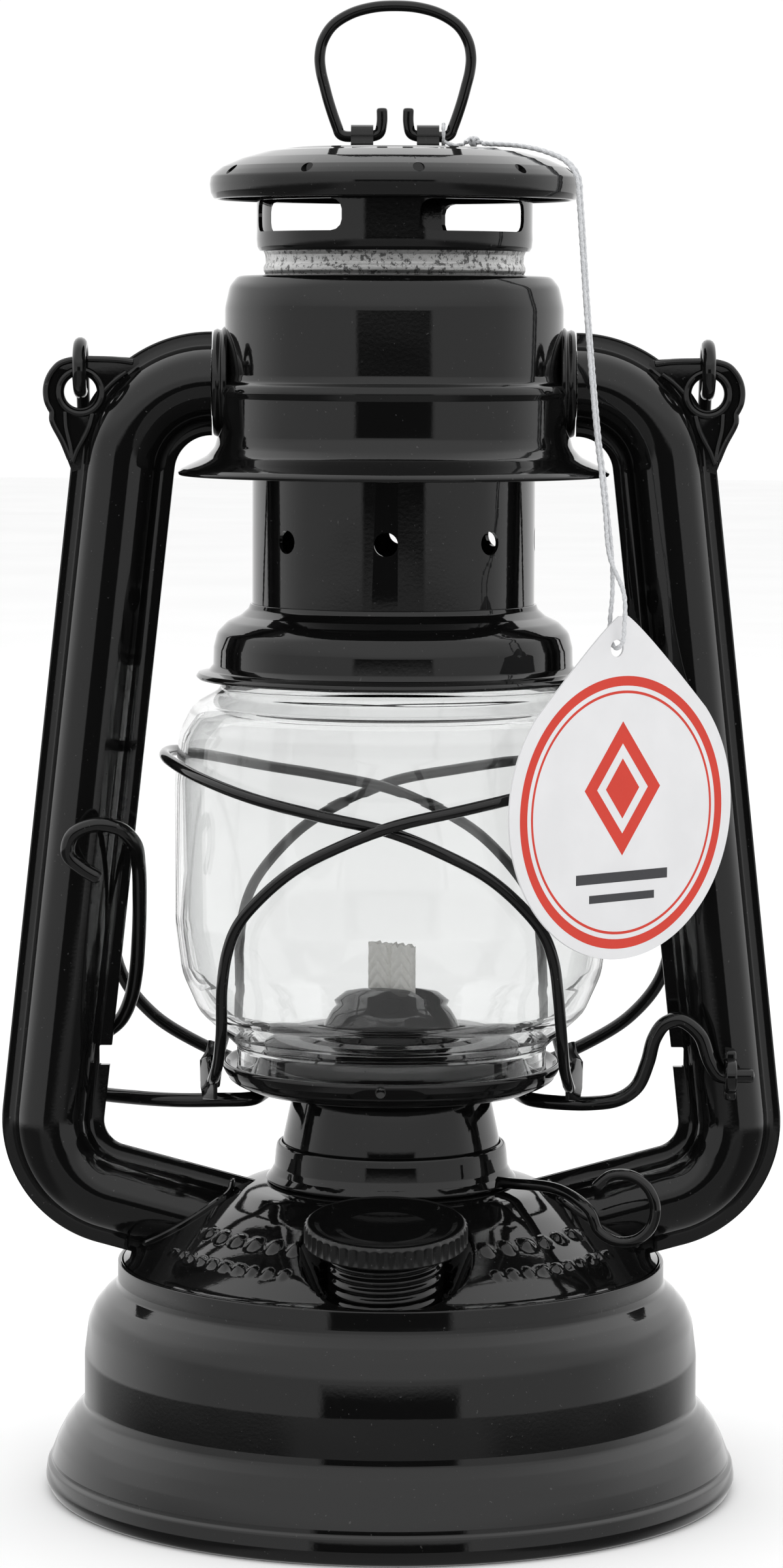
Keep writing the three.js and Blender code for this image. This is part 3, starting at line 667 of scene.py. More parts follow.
def neck_piece():
    """The spout with its rolled thread, which fades out towards both ends."""
    pitch, top, bottom, rows, segments = 1.9, 11.6, -2.4, 140, 128
    root, depth, bore = 10.15, 0.62, 9.4
    verts = []
    for row in range(rows + 1):
        z = bottom + (top - bottom) * row / rows
        for i in range(segments):
            angle = 2 * math.pi * i / segments
            phase = (z / pitch - angle / (2 * math.pi)) % 1
            fade = min(1.0, max(0.0, (top - 0.9 - z) / 0.8)) * min(1.0, max(0.0, (z + 0.6) / 0.8))
            r = root + depth * fade * (0.5 - 0.5 * math.cos(2 * math.pi * phase)) ** 0.8
            verts.append((r * math.cos(angle), r * math.sin(angle), z))
    for r, z in ((bore + 0.5, top + 0.02), (bore, top), (bore, bottom)):
        verts += [(x, y, z) for x, y in circle(0, 0, r, segments)]
    return mesh_object("filler_spout", verts, bands(rows + 4, segments), ENAMEL)


place(transform(neck_piece(), TO_FILLER), "frame", "enamel", "filler_neck")
place(transform(turned("cap_gasket", [
    (8.6, 11.95, 0.1), (10.9, 11.95, 0.2), (10.9, 12.65, 0.2), (8.6, 12.65, 0.1),
], CORK, 96), TO_FILLER), "gasket", "gasket_cork", "filler_gasket")

RIBS = 48


def knurl(angle, r, z):
    """Ribs on the cap's band, fading out at its edges."""
    if r < 14.3 or not 10.3 < z < 14.1:
        return r
    fade = min(1.0, (z - 10.3) / 0.7, (14.1 - z) / 0.6)
    return r - 0.5 * fade * (0.5 + 0.5 * math.cos(RIBS * angle)) ** 0.7


def cap_piece():
    body = turned("cap_body", [
        (0, 13.0), (11.3, 13.0, 0.3), (11.3, 10.3, 0.2), (14.6, 10.2, 0.3), (15.1, 10.6, 0.25),
        (15.1, 11.4), (15.1, 12.2), (15.1, 13.0), (15.1, 13.8, 0.5), (14.4, 14.4, 0.5), (13.2, 14.35, 0.5),
        (12.2, 13.85, 0.8), (9.6, 13.7, 1), (8.2, 13.45, 1), (0, 13.4),
    ], SATIN, RIBS * 8, knurl)
    body.data.materials.append(ENAMEL)
    for face in body.data.polygons:
        middle = face.center / MM
        if math.hypot(middle.x, middle.y) < 14.1:
            face.material_index = 1
    return body


place(transform(cap_piece(), TO_FILLER), "cap", "enamel", "fuel_cap")

# ---- Burner ----

place(turned("burner_ring", [
    (19.9, 59.4), (23.7, 59.2, 0.3), (24.0, 59.8, 0.4), (23.0, 61.0, 0.9), (22.4, 62.2, 1),
    (22.15, 65.0, 0.6), (21.9, 66.5, 0.8), (20.95, 66.8, 0.2), (20.9, 61.5), (19.9, 60.7),
]), "frame", "enamel", "burner_collar")
place(turned("burner_throat", [
    (20.0, 66.3), (20.8, 66.5, 0.1), (20.6, 68.0, 1), (19.5, 73.2, 3), (18.8, 76.2, 1), (15.5, 80.0, 2),
    (14.0, 83.5, 0.2), (13.2, 83.5), (14.7, 79.8, 2), (18.0, 75.6, 2), (18.8, 72.0),
]), "frame", "enamel", "burner_cone")
KNOB_AZIMUTH = 54
WICK_TURN = rotated(KNOB_AZIMUTH - 90, "Z")


def burner_dome():
    dome = turned("burner_cover", [
        (13.0, 84.0), (14.1, 84.3, 0.3), (14.1, 84.9, 0.3), (13.4, 85.4, 0.3), (13.45, 87.0, 3),
        (12.9, 89.4, 4), (11.4, 92.0, 4), (8.9, 94.3, 4), (5.6, 95.8, 4), (2, 96.3, 4), (0, 96.35),
        (0, 95.7), (2, 95.65, 4), (5.4, 95.2, 4), (8.5, 93.8, 4), (10.8, 91.6, 4), (12.3, 89.2, 3),
        (12.8, 87, 1), (12.6, 84.0),
    ], segments=128)
    slot = transform(block("slot", (-20, -2.3, 88.2), (20, 2.3, 100), 0.0), WICK_TURN)
    return cut(dome, slot)


place(burner_dome(), "frame", "enamel", "burner_dome")


def wick_piece():
    """A flat plaited ribbon: two rows of slanting strands on each face."""
    width, thick, low, high = 11.0, 2.0, 18.0, 103.6
    columns, rows = 44, 560
    across = spaced(-1, 1, columns)
    verts = []
    for row, z in enumerate(spaced(low, high, rows)):
        for face, line in ((1, across), (-1, across[::-1])):
            for u in line:
                fold = abs((abs(u) * 2) % 2 - 1)
                strand = abs(math.sin(math.pi * (z / 2.3 + 1.5 * fold)))
                edge = (1 - abs(u) ** 6) ** 0.5
                split = 0.55 * max(0.0, 1 - abs(u) / 0.07)
                depth = (thick / 2 - 0.42 + 0.42 * strand ** 0.6 - split) * max(edge, 0.12)
                frayed = 0.9 * noise.noise(Vector((u * 7, face * 3.1, 5))) if row == rows else 0
                verts.append((u * width / 2, face * depth, z + frayed + 0.4 * (row == rows)))
    size = 2 * (columns + 1)
    faces = bands(rows + 1, size, closed=False)
    for start in (0, rows * size):
        end = start + size - 1
        faces += [(start + i, start + i + 1, end - i - 1, end - i) for i in range(columns)]
    return transform(mesh_object("wick_braid", verts, faces, COTTON), WICK_TURN)


place(wick_piece(), "wick", "cotton", "wick")

KNOB_AXIS_Z = 60.5
KNOB_OFFSET = 3.6
KNOB_LOOP = 6.4
KNOB_CENTRE = (43.2, -26.5, 58.5)


def along_knob(distance):
    angle = math.radians(KNOB_AZIMUTH)
    x = math.sin(angle) * distance + math.cos(angle) * KNOB_OFFSET
    y = -math.cos(angle) * distance + math.sin(angle) * KNOB_OFFSET
    return x, y, KNOB_AXIS_Z


def knob_piece():
    """The wire that turns the wheels, bent into an open loop at its end."""
    points = [along_knob(d) for d in (-5, 8, 24, 36.5)]
    x, y, z = KNOB_CENTRE
    for across, up in on_circle(0, 0, KNOB_LOOP, spaced(188, 506, 9)):
        points.append((x + 0.95 * across, y - 0.31 * across, z + up))
    return wire("wick_key", points, 1.05, (0.31, 0.95, 0), 10)


place(knob_piece(), "knob", "enamel", "wick_knob")

# ---- Side tubes ----

TUBE_RADIUS = 7.0
TOP_BEND = (34.5, 194.4, 17.0)
LOW_BEND = (50.0, 70.5, 15.0)
LEAN = 6.5
LEG_SLOPE = 15
LEG_IN_TANK = 27
LEG_AXIS = Vector((math.cos(math.radians(LEG_SLOPE)), 0, math.sin(math.radians(LEG_SLOPE))))
LEG_UP = Vector((-LEG_AXIS.z, 0, LEG_AXIS.x))
SOCKET_Z = 211.4
EAR = (59.3, 209.6)
EAR_FACE = -0.95


def arc(bend, start, end, steps=40):
    return [Vector((x, 0, z)) for x, z in on_circle(*bend, spaced(start, end, steps))]


def tube_path():
    top = arc(TOP_BEND, 90, LEAN)
    low = arc(LOW_BEND, LEAN, LEG_SLOPE - 90)
    end = low[-1] - LEG_AXIS * LEG_IN_TANK
    return [Vector((33.0, 0, SOCKET_Z)), *top, *low, end]


def half_section():
    """Half a tube with its two seam flanges: a away from the seam, b away from the bends."""
    seam, flange, inner = 0.04, 0.85, TUBE_RADIUS - 0.7
    points = [(seam, 9.75), (seam, inner)]
    points += on_circle(0, 0, inner, range(85, -86, -10))
    points += [(seam, -inner), (seam, -9.45), (0.3, -9.65), (0.62, -9.62), (flange, -9.35), (flange, -7.7)]
    points.append((1.15, -7.2))
    first = math.degrees(math.asin(1.6 / TUBE_RADIUS))
    points += on_circle(0, 0, TUBE_RADIUS, spaced(first - 90, 90 - first, 26))
    points += [(1.15, 7.2), (flange, 7.7), (flange, 9.65), (0.62, 9.92), (0.3, 9.95)]
    return points


def ear_outline():
    points = on_circle(*EAR, 7.1, range(-35, 57, 7))
    points += [(60.6, 216.15), (56.5, 216.3), (52.4, 216.2), (48.5, 216.0)]
    points += [(46.5, 211), (56, 196), (60.9, 194.4)]
    return points


def ear_piece():
    ear = plate("ear", ear_outline(), 0.85, [circle(*EAR, 3.1, 48)], bevel=0.12)
    return transform(ear, moved(0, -0.47, 0) @ rotated(90, "X"))


def ear_folds():
    """The pressed rim round the ear, the raised ring round its hole and the ribs that run into the tube."""
    rim = [(61.2, 196.8), (62.6, 200.2), (64.6, 204.2), *on_circle(*EAR, 6.5, range(-35, 57, 15)),
           (60.2, 215.7), (56.4, 215.75), (52.2, 215.6), (49.2, 215.2)]
    rim = [(x, EAR_FACE, z) for x, z in rim]
    ring = [(x, EAR_FACE, z) for x, z in on_circle(*EAR, 4.1, range(0, 361, 15))]
    ribs = [
        (0.55, [(57.0, -0.95, 205.6), (57.9, -1.0, 202.4), (59.9, -1.05, 198.6), (60.8, -1.0, 196.2)]),
        (0.5, [(62.2, -0.95, 205.9), (62.0, -1.0, 202.8), (61.2, -1.05, 199.4), (60.8, -1.0, 196.2)]),
        (0.5, [(55.2, -0.95, 209.4), (53.0, -1.0, 211.6), (50.6, -1.0, 213.4)]),
    ]
    side = (0, 1, 0)
    return [wire("rim", rim, 0.62, side, 5, 10), wire("ring", ring, 0.72, side, 4, 10, closed=True),
            *(wire("rib", points, radius, side, 6, 10) for radius, points in ribs)]


def leg_seam():
    """The soldered edge where the leg meets the tank's cover."""
    end = arc(LOW_BEND, LEAN, LEG_SLOPE - 90)[-1]
    points = []
    for i in range(33):
        angle = 2 * math.pi * i / 32
        a, b = 7.5 * math.sin(angle), (9.0 if math.cos(angle) > 0 else 7.5) * math.cos(angle)
        on_leg = end + Vector((0, a, 0)) + LEG_UP * b
        low, high = -22.0, 12.0
        for _ in range(30):
            along = (low + high) / 2
            spot = on_leg + LEG_AXIS * along
            inside = spot.z < profile_height(DOME, math.hypot(spot.x, spot.y)) + 0.15
            low, high = (along, high) if inside else (low, along)
        points.append(on_leg + LEG_AXIS * high)
    return wire("seam", points, 0.6, (0, 0, 1), 4, 10, closed=True)


def front_half():
    half = swept("half", half_section(), tube_path(), (0, -1, 0))
    clean(half)
    notch = block("notch", (52.2, -3, 81.2), (55.9, 3, 85.0), 0.3)
    square = block("square", (20, -20, 196), (34.42, 20, 226), 0)
    half = cut(half, notch, square)
    return merged("tube_right_front", half, ear_piece(), *ear_folds())


right_front = front_half()
corners = (("right_rear", MIRROR_Y), ("left_front", MIRROR_X), ("left_rear", MIRROR_X @ MIRROR_Y))
for corner, mirror in corners:
    place(copied(right_front, "tube_" + corner, mirror), "frame", "enamel", "side_tube_" + corner)
place(right_front, "frame", "enamel", "side_tube_right_front")
seam = leg_seam()
place(copied(seam, "leg_seam_left", MIRROR_X), "frame", "enamel")
seam.name = "leg_seam_right"
place(seam, "frame", "enamel")

# ---- Air chamber and its sockets ----

place(turned("chamber_shell", [
    (40.75, 193.9, 0.3), (40.95, 194.6, 0.4), (40.2, 195.3, 0.5), (37.8, 196.5, 3), (35.4, 197.7, 3),
    (33.9, 199.4, 2), (33.3, 201.6, 2), (33.3, 208.6, 1.0), (33.75, 209.7, 0.8), (33.4, 211.0, 0.9),
    (32.3, 211.7, 0.8), (32.0, 213, 1), (32, 225.5, 5), (31.1, 229.6, 2.5), (29.6, 231.5, 1.5),
    (25.3, 231.8, 0.3), (25.1, 231.1), (28.2, 230.9), (29.9, 229.8), (30.9, 226.6), (31.2, 213),
    (32.3, 208.6), (32.6, 200.2, 2), (34.8, 197, 2), (40, 194.2, 0.3),
], segments=224), "frame", "enamel", "air_chamber")

socket = turned("socket_right", [
    (6.3, 31.6), (10.6, 31.2, 0.5), (10.6, 32.2, 0.5), (9.9, 32.7, 0.3), (10.2, 33.4, 0.4), (9.9, 34.1, 0.35),
    (6.3, 34.1),
], segments=96)
transform(socket, moved(0, 0, SOCKET_Z) @ rotated(90, "Y"))
place(copied(socket, "socket_left", MIRROR_X), "frame", "enamel", "tube_socket_left")
place(socket, "frame", "enamel", "tube_socket_right")


def spring_piece():
    coils, radius, low, high, steps = 3.5, 28.8, 199.9, 229.2, 84
    flat = on_circle(0, 0, radius, spaced(0, 360 * coils, steps))
    points = [(x, y, z) for (x, y), z in zip(flat, spaced(low, high, steps))]
    return wire("chimney_coil", points, 0.7, (0, 0, 1), 2, 10, SPRING)


place(spring_piece(), "frame", "bare_steel", "chimney_spring")

# ---- Globe carriage ----


def plate_piece():
    dish = turned("globe_tray", [
        (14.2, 86.5), (22.2, 86.5, 1), (24.8, 80.9, 1), (25.6, 80.0, 0.5), (26.5, 79.0, 0.8),
        (30.6, 79.3, 0.8), (31.3, 79.8), (31.2, 79.2, 0.5), (30.4, 78.5, 1), (24.2, 77.9, 0.5),
        (24.2, 77.3, 0.3), (28.0, 77.4, 3), (30.6, 78.6, 3), (31.9, 80.4, 2), (32.5, 81.7, 0.5),
        (32.3, 82.4, 0.35), (31.6, 82.4, 0.3), (30.9, 81.2, 0.8), (27.0, 80.6, 1), (25.6, 83.2, 1.2),
        (24.4, 85.9, 1), (22.6, 87.3, 0.8), (18, 87.35, 1), (16.6, 88.0, 0.5), (14.3, 88.0, 0.3),
    ], segments=192)
    hole = transform(bar("hole", 1.0, 5, 24), moved(-2.0, -31.6, 80.9) @ rotated(72, "X"))
    return cut(dish, hole)


place(plate_piece(), "globe_carriage", "enamel", "globe_plate")


def tab_piece():
    """The folded tongue on the plate's edge and the curled ears that hold the guard wires."""
    tongue = block("tongue", (32.55, -8.5, 78.0), (34.35, 8.5, 81.6), 0.5)
    outline = [
        (-4.2, -2.6), (1.4, -3.4), (2.6, -1.2), (2.7, 2.2), (1.6, 4.4), (-0.6, 5.0), (-1.6, 3.2), (-4.4, 1.6),
    ]
    ears = []
    for side in (1, -1):
        turned_out = rotated(90 + side * 24, "Z") @ rotated(90, "X")
        ear = plate("ear", outline, 0.8, bevel=0.15)
        ears.append(transform(ear, moved(34.9, side * 10.6, 79.4) @ turned_out))
    return merged("guard_tongue_right", tongue, *ears)


tab = tab_piece()
place(copied(tab, "guard_tongue_left", MIRROR_X), "globe_carriage", "enamel", "plate_tab_left")
place(tab, "globe_carriage", "enamel", "plate_tab_right")

HOOP_RISE = [
    (-45.3, 100), (-43.6, 106.6), (-40.2, 112), (-33.8, 117.2), (-24, 123.2), (-13.6, 127.5), (0, 131.8),
    (18, 134.7), (36, 137.2), (56, 140.1), (74, 142), (90, 142.4),
]


def hoop(name, radius, crossing):
    front = [
        (-33.7, -9.9, 80.6), (-33.8, -13.0, 80.4), (-33.4, -17.2, 81.4), (-32.4, -22.4, 85.2),
        (-31.6, -28.6, 92),
    ]
    for azimuth, height in HOOP_RISE:
        angle = math.radians(azimuth)
        reach = crossing if azimuth == 0 else radius
        front.append((reach * math.sin(angle), -reach * math.cos(angle), height))
    back = [(x, -y, z) for x, y, z in front[-2::-1]]
    return wire(name, front + back, 1.08, (0.3, 0, 1), 10)


place(hoop("guard_hoop_outer", 44.2, 45.4), "globe_carriage", "enamel", "guard_wire_outer")
inner_hoop = transform(hoop("guard_hoop_inner", 43.4, 43.0), MIRROR_X @ moved(0, 0, -1.4))
place(inner_hoop, "globe_carriage", "enamel", "guard_wire_inner")

place(turned("globe_glass", [
    (28.1, 81, 0.4), (29.6, 81, 0.4), (29.6, 85.4, 1.5), (31.4, 87.2, 2), (36.9, 92.2, 6),
    (40.2, 99.6, 10), (41.5, 109.5, 16), (41.5, 136, 14), (40.6, 145.4, 7), (38.0, 150.6, 4),
    (33.0, 153.4, 2.5), (32.2, 156.0, 1.5), (32.2, 162, 0.5), (30.7, 162, 0.5), (30.7, 155.2, 2),
    (32.3, 152.0, 3), (37.0, 149.2, 4), (39.1, 144.6, 6), (40.0, 136, 13), (40.0, 110, 14),
    (38.7, 100.4, 9), (35.6, 93.4, 5), (30.4, 88.6, 2), (28.1, 86.2, 1.2),
], GLASS, 192), "globe_carriage", "clear_glass", "globe")

# ---- Lifter ----

LIFTER = [
    (68.8, -9.8, 81), (66, -9.8, 81), (62.3, -9.8, 81), (60.4, -9.9, 83.6), (58.4, -10, 88.8),
    (54.7, -10, 91.6), (51.8, -9.9, 90.9), (49.8, -9.6, 88), (48.6, -9.2, 83.4), (46.6, -8.6, 78.6),
    (43.2, -7.6, 76), (38, -6.4, 75), (32, -4.5, 74.8), (27, -1, 74.8), (24.8, 5, 74.9), (23.6, 12, 75),
    (19, 19.6, 75), (10, 24.6, 75), (0, 26, 75), (-10, 24.6, 75), (-19, 19.6, 75), (-23.6, 12, 75),
    (-24.8, 5, 74.9), (-27, 0, 74.6), (-33, 0.4, 74.3), (-42, 2.6, 73.9), (-51, 7.4, 73.7),
    (-57, 10.9, 73.8), (-62, 11.3, 74.8), (-64.2, 11.3, 78.2), (-62, 11.2, 82), (-57, 10.9, 84.8),
    (-52.6, 9.6, 88.2), (-50.4, 8, 92.8), (-49.3, 6.2, 98), (-48.6, 3.2, 105.4), (-48.2, -0.8, 113),
    (-48.1, -5.5, 120), (-48.7, -10.4, 125), (-51.6, -12.8, 128), (-56, -13.2, 128.6), (-60.2, -13, 126.6),
    (-61, -12.7, 123), (-58.4, -12.5, 120.4), (-55, -12.5, 118.4),
]
place(wire("lift_lever", LIFTER, 1.4, (0, 0, 1), 8, 16), "lifter", "enamel", "lifter")


def bracket_piece():
    """The eyelet on the right tube that the lifter turns in."""
    eye = turned("eye", [(1.7, 63.2, 0.2), (3.4, 63.2, 0.5), (3.4, 65.4, 0.5), (1.7, 65.4, 0.2)], segments=64)
    eye = transform(eye, moved(0, -9.8, 81) @ rotated(90, "Y"))
    strap = block("strap", (63.2, -10.3, 76.2), (65.4, -5.2, 79.0), 0.6)
    upper = block("upper", (63.2, -10.3, 83.0), (65.4, -5.2, 85.8), 0.6)
    return merged("lever_eyelet", eye, strap, upper)


place(bracket_piece(), "frame", "enamel", "lifter_bracket")

# ---- Chimney, hood and ring ----

place(turned("globe_crown", [
    (37.0, 155.5, 0.2), (37.5, 156.0, 0.3), (37.0, 156.7, 0.3), (35.0, 157.2, 0.8), (34.2, 158.2, 0.6),
    (34.1, 161.6, 2), (33.4, 164.4, 2), (31.4, 166.4, 2.5), (28.9, 167.6, 1.5), (27.5, 168.9, 0.8),
    (27.2, 169.8, 0.2), (26.5, 169.8), (26.7, 168.2, 0.6), (30.6, 166.0, 2), (32.9, 162.6, 2),
    (33.3, 158, 1), (34.4, 156.4, 0.6),
], segments=208), "chimney", "enamel", "globe_cap")


def chimney_piece():
    tube = turned("chimney_pipe", [
        (26, 169.7), (26.8, 169.7, 0.1), (26.8, 196.8, 0.6), (30.2, 197.4, 0.3), (30.2, 198.6, 0.3),
        (25, 198.6), (25, 197.9), (26, 197.6, 0.3),
    ], segments=208)
    for azimuth in (-3, 42, 87, 132):
        across = rotated(azimuth, "Z") @ moved(0, 0, 182.1) @ rotated(90, "X")
        cut(tube, transform(bar("hole", 2.2, 70, 48), across))
    return tube


place(chimney_piece(), "chimney", "enamel", "chimney_tube")
place(turned("inner_sleeve", [
    (23.6, 190), (24.4, 190, 0.2), (24.4, 231.9, 0.4), (24.7, 232.5, 0.4), (24.7, 233.2, 0.5),
    (24.3, 233.9, 0.6), (24.4, 235.4, 0.5), (24.8, 236.3, 0.3), (24.0, 236.5, 0.2), (23.6, 235.6),
], BARE, 208), "chimney", "bare_steel", "chimney_sleeve")


def collar_piece():
    ring = turned("hood_cage", [
        (24.9, 236.2, 0.2), (25.4, 236.1, 0.3), (25.9, 236.9, 0.7), (26.05, 238.4, 0.8), (26, 240.0),
        (26, 252.4), (25.2, 252.6), (25.2, 238.0, 0.4),
    ], segments=224)
    first_window, windows = 39.2, 4
    for i in range(windows):
        window = block("window", (12, -12.5, 239.7), (34, 12.5, 245.6), 2.0)
        cut(ring, transform(window, rotated(first_window + 360 / windows * i, "Z")))
    return ring


place(collar_piece(), "chimney", "enamel", "hood_collar")


def hood_piece():
    hood = turned("hood_roof", [
        (33.2, 245.7, 0.3), (34.1, 245.9, 0.5), (34.7, 247.0, 1), (34.9, 248.6, 1), (34.7, 250.0, 0.8),
        (33.6, 251.0, 1), (32.6, 251.8, 1), (29.0, 253.4, 4), (24.5, 254.7, 3), (21.5, 255.05, 1),
        (20.4, 255.35, 0.4), (19.2, 255.35, 0.4), (18.2, 255.05, 0.5), (13.4, 255.1, 0.5),
        (12.6, 255.4, 0.3), (11.6, 255.4, 0.3), (10.8, 255.1, 0.5), (0, 255.15), (0, 254.3),
        (21.5, 254.2, 1), (26.5, 253.1, 3), (32.6, 250.6, 1), (33.9, 248.5, 1), (33.4, 246.7, 0.5),
    ], segments=224)
    first_drip, drips = -64.6, 10
    for i in range(drips):
        at_rim = rotated(first_drip + 360 / drips * i, "Z") @ moved(0, -34.6, 251.3) @ rotated(75, "X")
        cut(hood, transform(bar("drip", 1.1, 4, 20), at_rim))
    return hood


place(hood_piece(), "chimney", "enamel", "hood_disc")

RING_AXIS_Z = 257.7


def knuckle(name, x0, x1):
    """A strap bent up over the ring wire: an arch with two feet, extruded along X."""
    section = [(-3.7, 255.3), (-3.7, 256.0), (-2.5, 256.3),
               *on_circle(0, RING_AXIS_Z, 2.15, range(190, -11, -10)),
               (2.5, 256.3), (3.7, 256.0), (3.7, 255.3), (1.4, 255.3),
               *on_circle(0, RING_AXIS_Z, 1.4, range(0, 181, 15)), (-1.4, 255.3)]
    path = [Vector((x, 0, 0)) for x in (x0, x0 + 0.01, x1 - 0.01, x1)]
    return swept(name, section, path, (0, 1, 0))


def strap_piece():
    strip = block("strip", (-9.0, -4.0, 255.2), (9.0, 4.0, 255.75), 0.2)
    return merged("ring_strap", strip, knuckle("right", 4.1, 8.3), knuckle("left", -8.3, -4.1))


place(strap_piece(), "chimney", "enamel", "hood_strap")

RING_HALF = [
    (2.5, 263), (2.5, 260.2), (3, 258.3), (4.4, 257.7), (6.6, 257.7), (9.5, 257.7),
    (10.4, 258.2), (10.9, 259.4), (11.7, 261.6), (12.6, 264.4), (13.3, 267), (14, 269.9),
    (14.2, 272.6), (13.6, 275.5), (11.8, 278.3), (8.4, 280.5), (4.2, 281.7),
]
ring_points = [(x, 0, z) for x, z in RING_HALF + [(0, 282)] + [(-x, z) for x, z in reversed(RING_HALF)]]
place(wire("top_ring", ring_points, 1.05, (0, 1, 0), 8), "ring", "enamel", "lift_ring")

# ---- Bail ----

BAIL_AXIS_Z = 214.1
BAIL_LEAN = math.radians(19)
BAIL_EYE = 4.5
BAIL_X = 59.3
BAIL_REACH = 157
BAIL_ARM = [(10, 59.2), (60, 58.6), (112, 56.8), (130, 54.4), (139, 48.5), (145, 40.5), (152, 26), (156, 11)]


def bail_piece():
    eye = on_circle(BAIL_AXIS_Z, 0, BAIL_EYE, spaced(-198, 70, 16))
    side = [(BAIL_X, y, z) for z, y in eye]
    y = BAIL_EYE * math.cos(BAIL_LEAN)
    z = BAIL_AXIS_Z + BAIL_EYE * math.sin(BAIL_LEAN)
    run, drop = math.sin(BAIL_LEAN), -math.cos(BAIL_LEAN)
    side += [(x, y + run * length, z + drop * length) for length, x in BAIL_ARM]
    points = side + [(0, y + run * BAIL_REACH, z + drop * BAIL_REACH)]
    points += [(-x, b, c) for x, b, c in reversed(side)]
    return wire("carry_bail", points, 1.3, (1, 0, 0.01), 8)


place(bail_piece(), "bail", "enamel", "bail")

# ---- Hang tag ----


def tag_matrix(out=0.0):
    """From the card's own plane (x across, y up, z outwards) to the lantern."""
    base = tag_out * (TAG_DISTANCE + out) + tag_across * TAG_CENTRE[0] + UP * TAG_CENTRE[1]
    columns = Matrix((tag_across, UP, tag_out)).transposed().to_4x4()
    return Matrix.Translation(base * MM) @ columns


def card_outline():
    """A drop: most of a circle, and two curved sides up to the blunt tip."""
    spread, radius, steps = 40.5, 27.9, 96
    points = on_circle(0, 0, radius, spaced(180 - spread, 360 + spread, steps))
    right, left = (points[-1], (4.6, 34.4), (0.4, 36.4)), ((-0.4, 36.4), (-4.6, 34.4), points[0])
    for start, middle, end in (right, left):
        for i in range(1, 13):
            t = i / 13
            shares = ((1 - t) ** 2, 2 * t * (1 - t), t * t)
            points.append(tuple(sum(k * c for k, c in zip(shares, axis)) for axis in zip(start, middle, end)))
    return points


CARD_THICKNESS = 0.5
INK_THICKNESS = 0.012
INK_PLACE = 0.262
hole_at = (TAG_HOLE[0] - TAG_CENTRE[0], TAG_HOLE[1] - TAG_CENTRE[1])
card = plate("tag_board", card_outline(), CARD_THICKNESS, [circle(*hole_at, 1.6, 40)], CARD, 0.08)
place(transform(card, tag_matrix()), "tag", "tag_card", "hang_tag")


def print_piece(name, material, *loops):
    """Thin printed shapes on the front of the card, each an outline with its holes."""
    parts = [plate("ink", outline, INK_THICKNESS, holes, material) for outline, holes in loops]
    return place(transform(merged(name, *parts), tag_matrix(INK_PLACE)), "tag", "tag_card")


def diamond(width, height, z=0.0):
    return [(width, z), (0, z + height), (-width, z), (0, z - height)]


def bar_outline(width, z, height):
    return [(-width, z), (width, z), (width, z + height), (-width, z + height)]


def print_circle(radius):
    return circle(0, -0.5, radius, 128)


print_piece("tag_print_ring", PRINT_RED, (print_circle(25.4), [print_circle(23.6)]),
            (print_circle(22.7), [print_circle(22.2)]))
print_piece("tag_print_diamond", PRINT_RED, (diamond(9.5, 12.5, 4.0), [diamond(6.4, 8.4, 4.0)]),
            (diamond(4.2, 5.6, 4.0), []))
print_piece("tag_print_bars", PRINT_GREY, (bar_outline(11.5, -13.4, 1.9), []),
            (bar_outline(8.2, -17.0, 1.5), []))

# ---- Materials of the solids that stay as they are ----

BARE_SOLIDS = ("burner_base", "burner_plate", "wick_tube", "wick_wheel_inner", "wick_wheel_outer")
for node, material in (("tank_top", ENAMEL), *((node, BARE) for node in BARE_SOLIDS)):
    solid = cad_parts[node]
    solid.data.materials.clear()
    solid.data.materials.append(material)

# ---- Studio ----


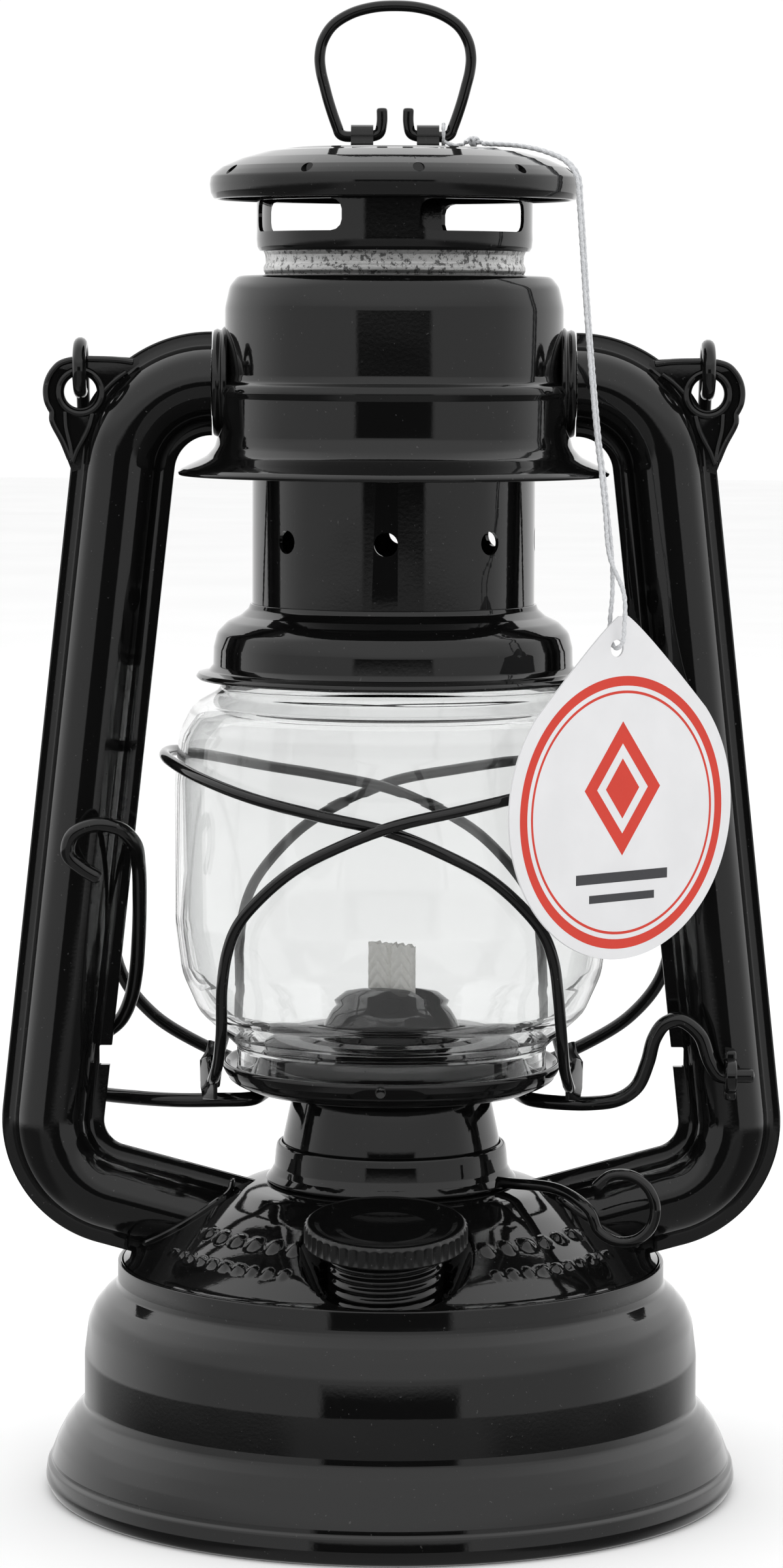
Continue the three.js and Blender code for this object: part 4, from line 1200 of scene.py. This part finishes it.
def studio_world():
    """Bright round and above, grey below, and a dark upright gap in front, as between two soft boxes."""
    world = bpy.data.worlds.new("studio")
    bpy.context.scene.world = world
    world.use_nodes = True
    tree = world.node_tree
    nodes, links = tree.nodes, tree.links

    def math_node(operation, a, b):
        made = nodes.new("ShaderNodeMath")
        made.operation = operation
        for socket, value in zip(made.inputs, (a, b)):
            if isinstance(value, (int, float)):
                socket.default_value = value
            else:
                links.new(value, socket)
        return made.outputs[0]

    def step(value, low, high):
        made = nodes.new("ShaderNodeMapRange")
        made.interpolation_type = "SMOOTHSTEP"
        made.inputs["From Min"].default_value = low
        made.inputs["From Max"].default_value = high
        links.new(value, made.inputs["Value"])
        return made.outputs["Result"]

    def plus(base, share, amount):
        """base + share x amount."""
        return math_node("ADD", base, math_node("MULTIPLY", share, amount))

    def rest(share):
        return math_node("SUBTRACT", 1, share)

    def blend(share, a, b):
        return plus(math_node("MULTIPLY", a, share), b, rest(share))

    way = nodes.new("ShaderNodeSeparateXYZ")
    links.new(nodes.new("ShaderNodeTexCoord").outputs["Generated"], way.inputs["Vector"])
    x, y, z = way.outputs
    aside = math_node("ABSOLUTE", x, 0)
    off_centre = step(aside, 0.39, 0.45)
    lit = math_node("MAXIMUM", off_centre, step(y, 0.1, 0.3))
    lit = math_node("MAXIMUM", lit, step(z, 0.035, 0.12))
    side = plus(plus(0.7, step(y, -0.3, 0.4), 0.42), step(z, 0.2, 0.45), 0.3)
    upper = plus(0.02, lit, side)
    near = plus(0.11, rest(step(aside, 0.5, 0.7)), 0.2)
    low = plus(near, step(y, 0.1, 1.0), 0.4)
    far = plus(0.42, step(y, 0.0, 0.8), 0.3)
    bright = blend(step(z, -0.195, -0.15), upper, blend(step(z, -0.225, -0.17), far, low))
    glossy = nodes.new("ShaderNodeLightPath").outputs["Is Glossy Ray"]
    links.new(blend(glossy, bright, 1.02), nodes["Background"].inputs["Strength"])
    nodes["Background"].inputs["Color"].default_value = (1, 1, 1, 1)


def floor_piece():
    look = Look("floor_paint")
    look.feed(Base_Color=look.ramp(look.noise(6, 3.0), [(0.3, grey(0.9)), (0.7, grey(0.93))]))
    look.set(Roughness=0.9)
    size, level = 6000, -0.05
    corners = [(x * size, y * size, level) for x, y in ((-1, -1), (1, -1), (1, 1), (-1, 1))]
    floor = mesh_object("floor", corners, [(0, 1, 2, 3)], look.material)
    floor.visible_glossy = False


def area(name, spot, target, size, power):
    lamp = bpy.data.objects.new(name, bpy.data.lights.new(name, "AREA"))
    lamp.data.shape = "RECTANGLE"
    lamp.data.size, lamp.data.size_y = size
    lamp.data.energy = power
    bpy.context.collection.objects.link(lamp)
    aim = Vector(target) - Vector(spot)
    lamp.matrix_world = Matrix.Translation(spot) @ aim.to_track_quat("-Z", "Y").to_matrix().to_4x4()
    return lamp


studio_world()
floor_piece()
top = area("top_light", (0, 0.1, 1.6), (0, 0, 0), (2.4, 2.4), 14)
top.visible_glossy = False
